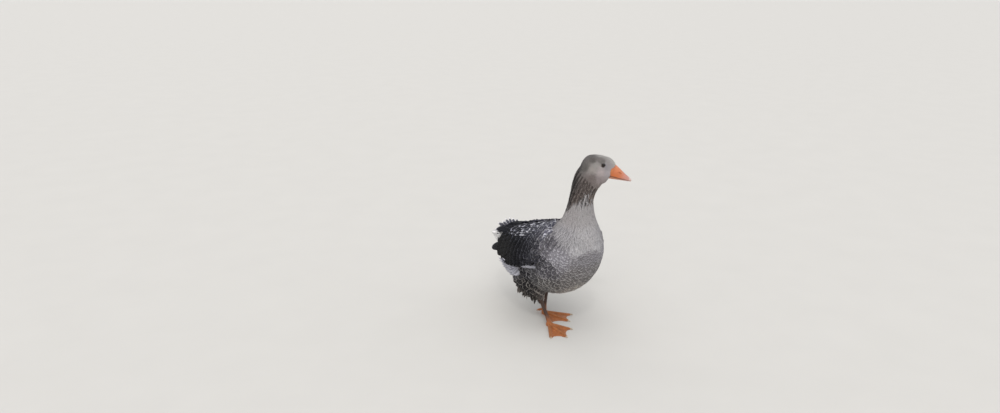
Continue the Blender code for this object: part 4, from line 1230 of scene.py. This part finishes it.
upperBill = remesh(copyOfNodes(["bill_upper", "head"], 0.0004), bill["voxel"], 5)
along = inHead(pointsOf(upperBill))[:, 0]
melt = upperBill.vertex_groups.new(name="melt")
meltFrom, meltTo, meltEnd = bill["melt"]
for i in np.nonzero((along > meltFrom) & (along < meltEnd))[0]:
    melt.add([int(i)], float(smoothStep(meltEnd, meltTo, along[i])), "REPLACE")
applyModifier(upperBill, "SMOOTH", factor=0.5, iterations=bill["meltRounds"], vertex_group="melt")
editAll(
    upperBill, bpy.ops.mesh.bisect, plane_co=headPlace(bill["cut"], 0, 0), plane_no=headAhead,
    use_fill=True, clear_inner=True,
)
shapeBill(upperBill)
finishPiece(upperBill, "upperBill", billOrange, ["bill_upper"])
lowerBill = remesh(copyOfNodes(["bill_lower"], 0.0001), bill["voxel"], 4)
finishPiece(lowerBill, "lowerBill", billLowOrange, ["bill_lower"])
nail = remesh(copyOfNodes(["bill_nail"], 0.0001), bill["nailVoxel"], 30)
finishPiece(nail, "billNail", nailHorn, ["bill_nail"])
say("bill")


# eyes and lids

def eyeMaterial():
    # a wet cornea over a dark hazel iris: near black with one sharp glint
    material, add = newMaterial("wetHazelEye")
    spread = add("UVMap", uv_map="iris")
    out = add("SeparateXYZ", [spread], 1)
    pupil = add("MapRange", {0: out, 1: 0.868, 2: 0.880})
    inIris = add("MapRange", {0: out, 1: 0.730, 2: 0.765})
    stretched = add("VectorMath", [spread, (60.0, 5.0, 1.0)], operation="MULTIPLY")
    streaks = add("TexNoise", {"Vector": stretched, "Scale": 1.0, "Detail": 3.0})
    hazel = add("Mix", {0: streaks, 6: linear("120B07"), 7: linear("33200F")}, 2, data_type="RGBA")
    colour = add("Mix", {0: inIris, 6: linear("0E0B0A"), 7: hazel}, 2, data_type="RGBA")
    colour = add("Mix", {0: pupil, 6: colour, 7: linear("030303")}, 2, data_type="RGBA")
    finishSurface(
        add, colour, Roughness=0.45, Specular_IOR_Level=0.05,
        Coat_Weight=1.0, Coat_Roughness=0.02, Coat_IOR=1.33,
    )
    return material


wetEye = eyeMaterial()
# bare skin of the lids: thin, dark and finely wrinkled, a little pale at the rim
lidSkin = grainedMaterial(
    "bareLidSkin", None, "TexVoronoi", 1400.0, 0.0, (0.80, 1.15), 0.00010, Roughness=0.5
)
# rings of each lid: degrees beyond the opening, distance from the eye's centre in mm, tone
lidRings = [
    (0, 7.70, "1A1413"), (0, 8.40, "241D1C"), (3, 8.85, "3A3230"), (7, 9.05, "3E3836"),
    (12, 8.95, "4C4745"), (18, 8.60, "6A6563"), (25, 7.70, "6A6563"), (24, 6.40, "3A3230"),
    (8, 6.20, "2A2220"),
]
lidShape = {
    "steps": 72,
    "pinch": 1.25,  # corners narrower than an ellipse's
    "slant": 0.0005,  # the front corner sits lower
    "droop": 0.0009,  # the upper lid hangs over the eye
    "gap": 0.0003,
}


def lidMesh(centre, gaze, level, upright, side):
    steps, rings = lidShape["steps"], len(lidRings)
    points, tones, faces = [], [], []
    for r, (beyond, reach, tone) in enumerate(lidRings):
        for k in range(steps):
            a = 2 * math.pi * k / steps
            x = eyes["opening"][0] * math.cos(a)
            y = eyes["opening"][1] * math.copysign(abs(math.sin(a)) ** lidShape["pinch"], math.sin(a))
            y -= lidShape["slant"] * math.cos(a) + lidShape["droop"]
            wide = math.asin(math.hypot(x, y) / (eyes["radius"] + lidShape["gap"])) + math.radians(beyond)
            around = math.atan2(y, x)
            aside = level * math.cos(around) + upright * math.sin(around)
            points.append(centre + (gaze * math.cos(wide) + aside * math.sin(wide)) * reach * mm)
            tones.append(linear(tone))
            nextStep, nextRing = (k + 1) % steps, (r + 1) % rings * steps
            faces.append([r * steps + k, r * steps + nextStep, nextRing + nextStep, nextRing + k][::side])
    mesh = bpy.data.meshes.new("eyelids")
    mesh.from_pydata([tuple(p) for p in points], [], faces)
    mesh.validate()
    giveColours(mesh, "tone", tones)
    return mesh


for sideName, side in (("left", 1), ("right", -1)):
    along, out, rise = eyes["place"]
    centre = headPlace(along, out * side, rise)
    ahead, outward, up = eyes["gaze"]
    gaze = (headAhead * ahead + headLeft * (outward * side) + headUp * up).normalized()
    level = (headAhead - gaze * headAhead.dot(gaze)).normalized()
    upright = (headUp - gaze * headUp.dot(gaze) - level * headUp.dot(level)).normalized()
    deselect()
    radius = eyes["radius"]
    bpy.ops.mesh.primitive_uv_sphere_add(segments=48, ring_count=32, radius=radius, location=(0, 0, 0))
    ball = bpy.context.object
    ball.data.uv_layers[0].name = "iris"
    points = pointsOf(ball)
    points *= (1 + eyes["cornea"] / radius * smoothStep(0.60, 1.0, points[:, 2] / radius))[:, None]
    turned = np.array(gaze.to_track_quat("Z", "Y").to_matrix())
    setPoints(ball, points @ turned.T + np.array(centre))
    finishPiece(ball, "eyeball_" + sideName, wetEye, ["eye_" + sideName])
    lids = bpy.data.objects.new("eyelids", lidMesh(centre, gaze, level, upright, side))
    bpy.context.scene.collection.objects.link(lids)
    editAll(lids, bpy.ops.mesh.normals_make_consistent, inside=False)
    finishPiece(lids, "eyelids_" + sideName, lidSkin)
say("eyes")


# legs, feet and claws

legs = {
    "voxel": 0.00075,
    "clawVoxel": 0.0004,
    "scuteLength": 0.0034,
    "scuteDepth": 0.00040,
    "scaleLength": 0.0032,
    "scaleDepth": 0.00028,
    "plates": 4.5,  # half as many as stand round the shank
    "ankleHeight": 0.0125,
    "hockHeight": 0.079,
    "toeLengths": (0.068, 0.089, 0.081),  # inner, middle, outer
    "toeTurns": (-36, 0, 30),
    "toeHalfWidths": (0.0058, 0.0036),
    "footTone": "AE6A3C",
    "toeTone": "B67443",
    # the shank's tone holds its own browner colour and painted shade under the body
    "shankTone": "4C352A",
    "creaseTone": "8A5632",
    "creaseShare": 0.55,
}
# ankle x, y, hock x, y, turned out
legPlaces = {
    "right": (-1, (-0.0385, -0.0733), (-0.0460, -0.0363), 3),
    "left": (1, (0.0000, 0.0017), (0.0260, 0.0237), 18),
}


def legMaterial():
    # horny scales over tendon and skin: satin, orange, browner and darker up the shank, partly its own colour
    # and partly painted shade under the body
    material, add = newMaterial("scaledLegSkin")
    tone = add("Attribute", attribute_name="tone")
    place = add("TexCoord", output=3)
    net = add("TexVoronoi", {"Vector": place, "Scale": 620.0}, feature="DISTANCE_TO_EDGE")
    net = add("MapRange", {0: net, 1: 0.0, 2: 0.25})
    dirt = add("TexNoise", {"Vector": place, "Scale": 70.0, "Detail": 4.0})
    dirt = add("MapRange", {0: dirt, 1: 0.3, 2: 0.7, 3: 0.72, 4: 1.15})
    lines = add("MapRange", {0: net, 3: 0.80, 4: 1.03})
    shade = add("Math", [dirt, lines], operation="MULTIPLY")
    finishSurface(
        add, tone, shade, net, 0.00018, Roughness=0.50, Specular_IOR_Level=0.4, Subsurface_Weight=0.08,
        Subsurface_Radius=(0.003, 0.0012, 0.0006), Subsurface_Scale=0.4,
    )
    return material


def toePattern(points, onTop, side, ankle, turnOut):
    # creases between the scutes and along the toes, and what lies on a toe
    crease, onToe = np.zeros(len(points)), np.zeros(len(points))
    for length, turn in zip(legs["toeLengths"], legs["toeTurns"]):
        a = math.radians(turnOut + turn)
        ray = np.array((side * math.sin(a), -math.cos(a)))
        offset = points[:, :2] - np.array(ankle)
        t = offset @ ray
        d = np.abs(offset @ np.array((-ray[1], ray[0])))
        half = np.interp(t, (0, length), legs["toeHalfWidths"])
        inside = smoothStep(1.15, 0.80, d / half) * smoothStep(-0.002, 0.004, t) * (t < length)
        inside *= smoothStep(0.016, 0.013, points[:, 2]) * onTop
        groove = 1 - np.abs(np.sin(np.pi * t / legs["scuteLength"])) ** 0.45
        rim = bell(d / half - 1.0, 0.16) * (t > 0) * (t < length) * onTop
        crease = np.maximum(crease, np.maximum(groove * inside, 0.6 * rim))
        onToe = np.maximum(onToe, inside)
    return crease, onToe


def shankPattern(points, ankle, hock):
    # staggered plates
    low, high = np.array((*ankle, legs["ankleHeight"])), np.array((*hock, legs["hockHeight"]))
    axis = (high - low) / np.linalg.norm(high - low)
    climb = (points - low) @ axis
    beside = (points - low) - climb[:, None] * axis
    around = np.arctan2(beside[:, 0], -beside[:, 1])
    row = np.floor(climb / legs["scaleLength"])
    cells = np.minimum(
        np.abs(np.sin(np.pi * climb / legs["scaleLength"])),
        np.abs(np.sin(around * legs["plates"] + (row % 2) * np.pi / 2)) * 1.2,
    )
    return (1 - np.clip(cells, 0, 1) ** 0.45) * smoothStep(0.006, 0.012, climb)


scaledSkin = legMaterial()
legTones = [np.array(linear(legs[part + "Tone"])[:3]) for part in ("foot", "toe", "shank", "crease")]
for sideName, (side, ankle, hock, turnOut) in legPlaces.items():
    names = [part + "_" + sideName for part in ("shank", "foot", "hind_toe")]
    leg = remesh(copyOfNodes(names, 0.0002), legs["voxel"], 4)
    points, normals = pointsOf(leg), normalsOf(leg)
    onTop = smoothStep(0.05, 0.45, normals[:, 2])
    toeCrease, onToe = toePattern(points, onTop, side, ankle, turnOut)
    shankCrease = shankPattern(points, ankle, hock)
    sunk = np.maximum(toeCrease * legs["scuteDepth"], shankCrease * legs["scaleDepth"])
    setPoints(leg, points - normals * sunk[:, None])
    footTone, toeTone, shankTone, creaseTone = legTones
    base = footTone + (toeTone - footTone) * onToe[:, None]
    # browner and darker up the shank: partly its own colour, partly painted shade under the body
    base = base + (shankTone - base) * smoothStep(0.012, 0.040, points[:, 2])[:, None]
    share = legs["creaseShare"] * np.maximum(toeCrease, shankCrease)[:, None]
    giveColours(leg.data, "tone", base * (1 - share) + creaseTone * base * share)
    finishPiece(leg, "leg_" + sideName, scaledSkin, names)

# dull, slightly streaked horn
clawHorn = grainedMaterial(
    "dullClawHorn", "B9A58C", "TexNoise", 420.0, 3.0, (0.70, 1.15), 0.00006, Roughness=0.42, IOR=1.54
)
clawNames = [f"claw_{toe}_{s}" for s in ("left", "right") for toe in ("inner", "middle", "outer")]
clawNames += ["hind_claw_left", "hind_claw_right"]
claws = remesh(copyOfNodes(clawNames, 0.0001), legs["clawVoxel"], 4)
finishPiece(claws, "claws", clawHorn, clawNames)
say("legs and claws")

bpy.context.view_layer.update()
say("done")
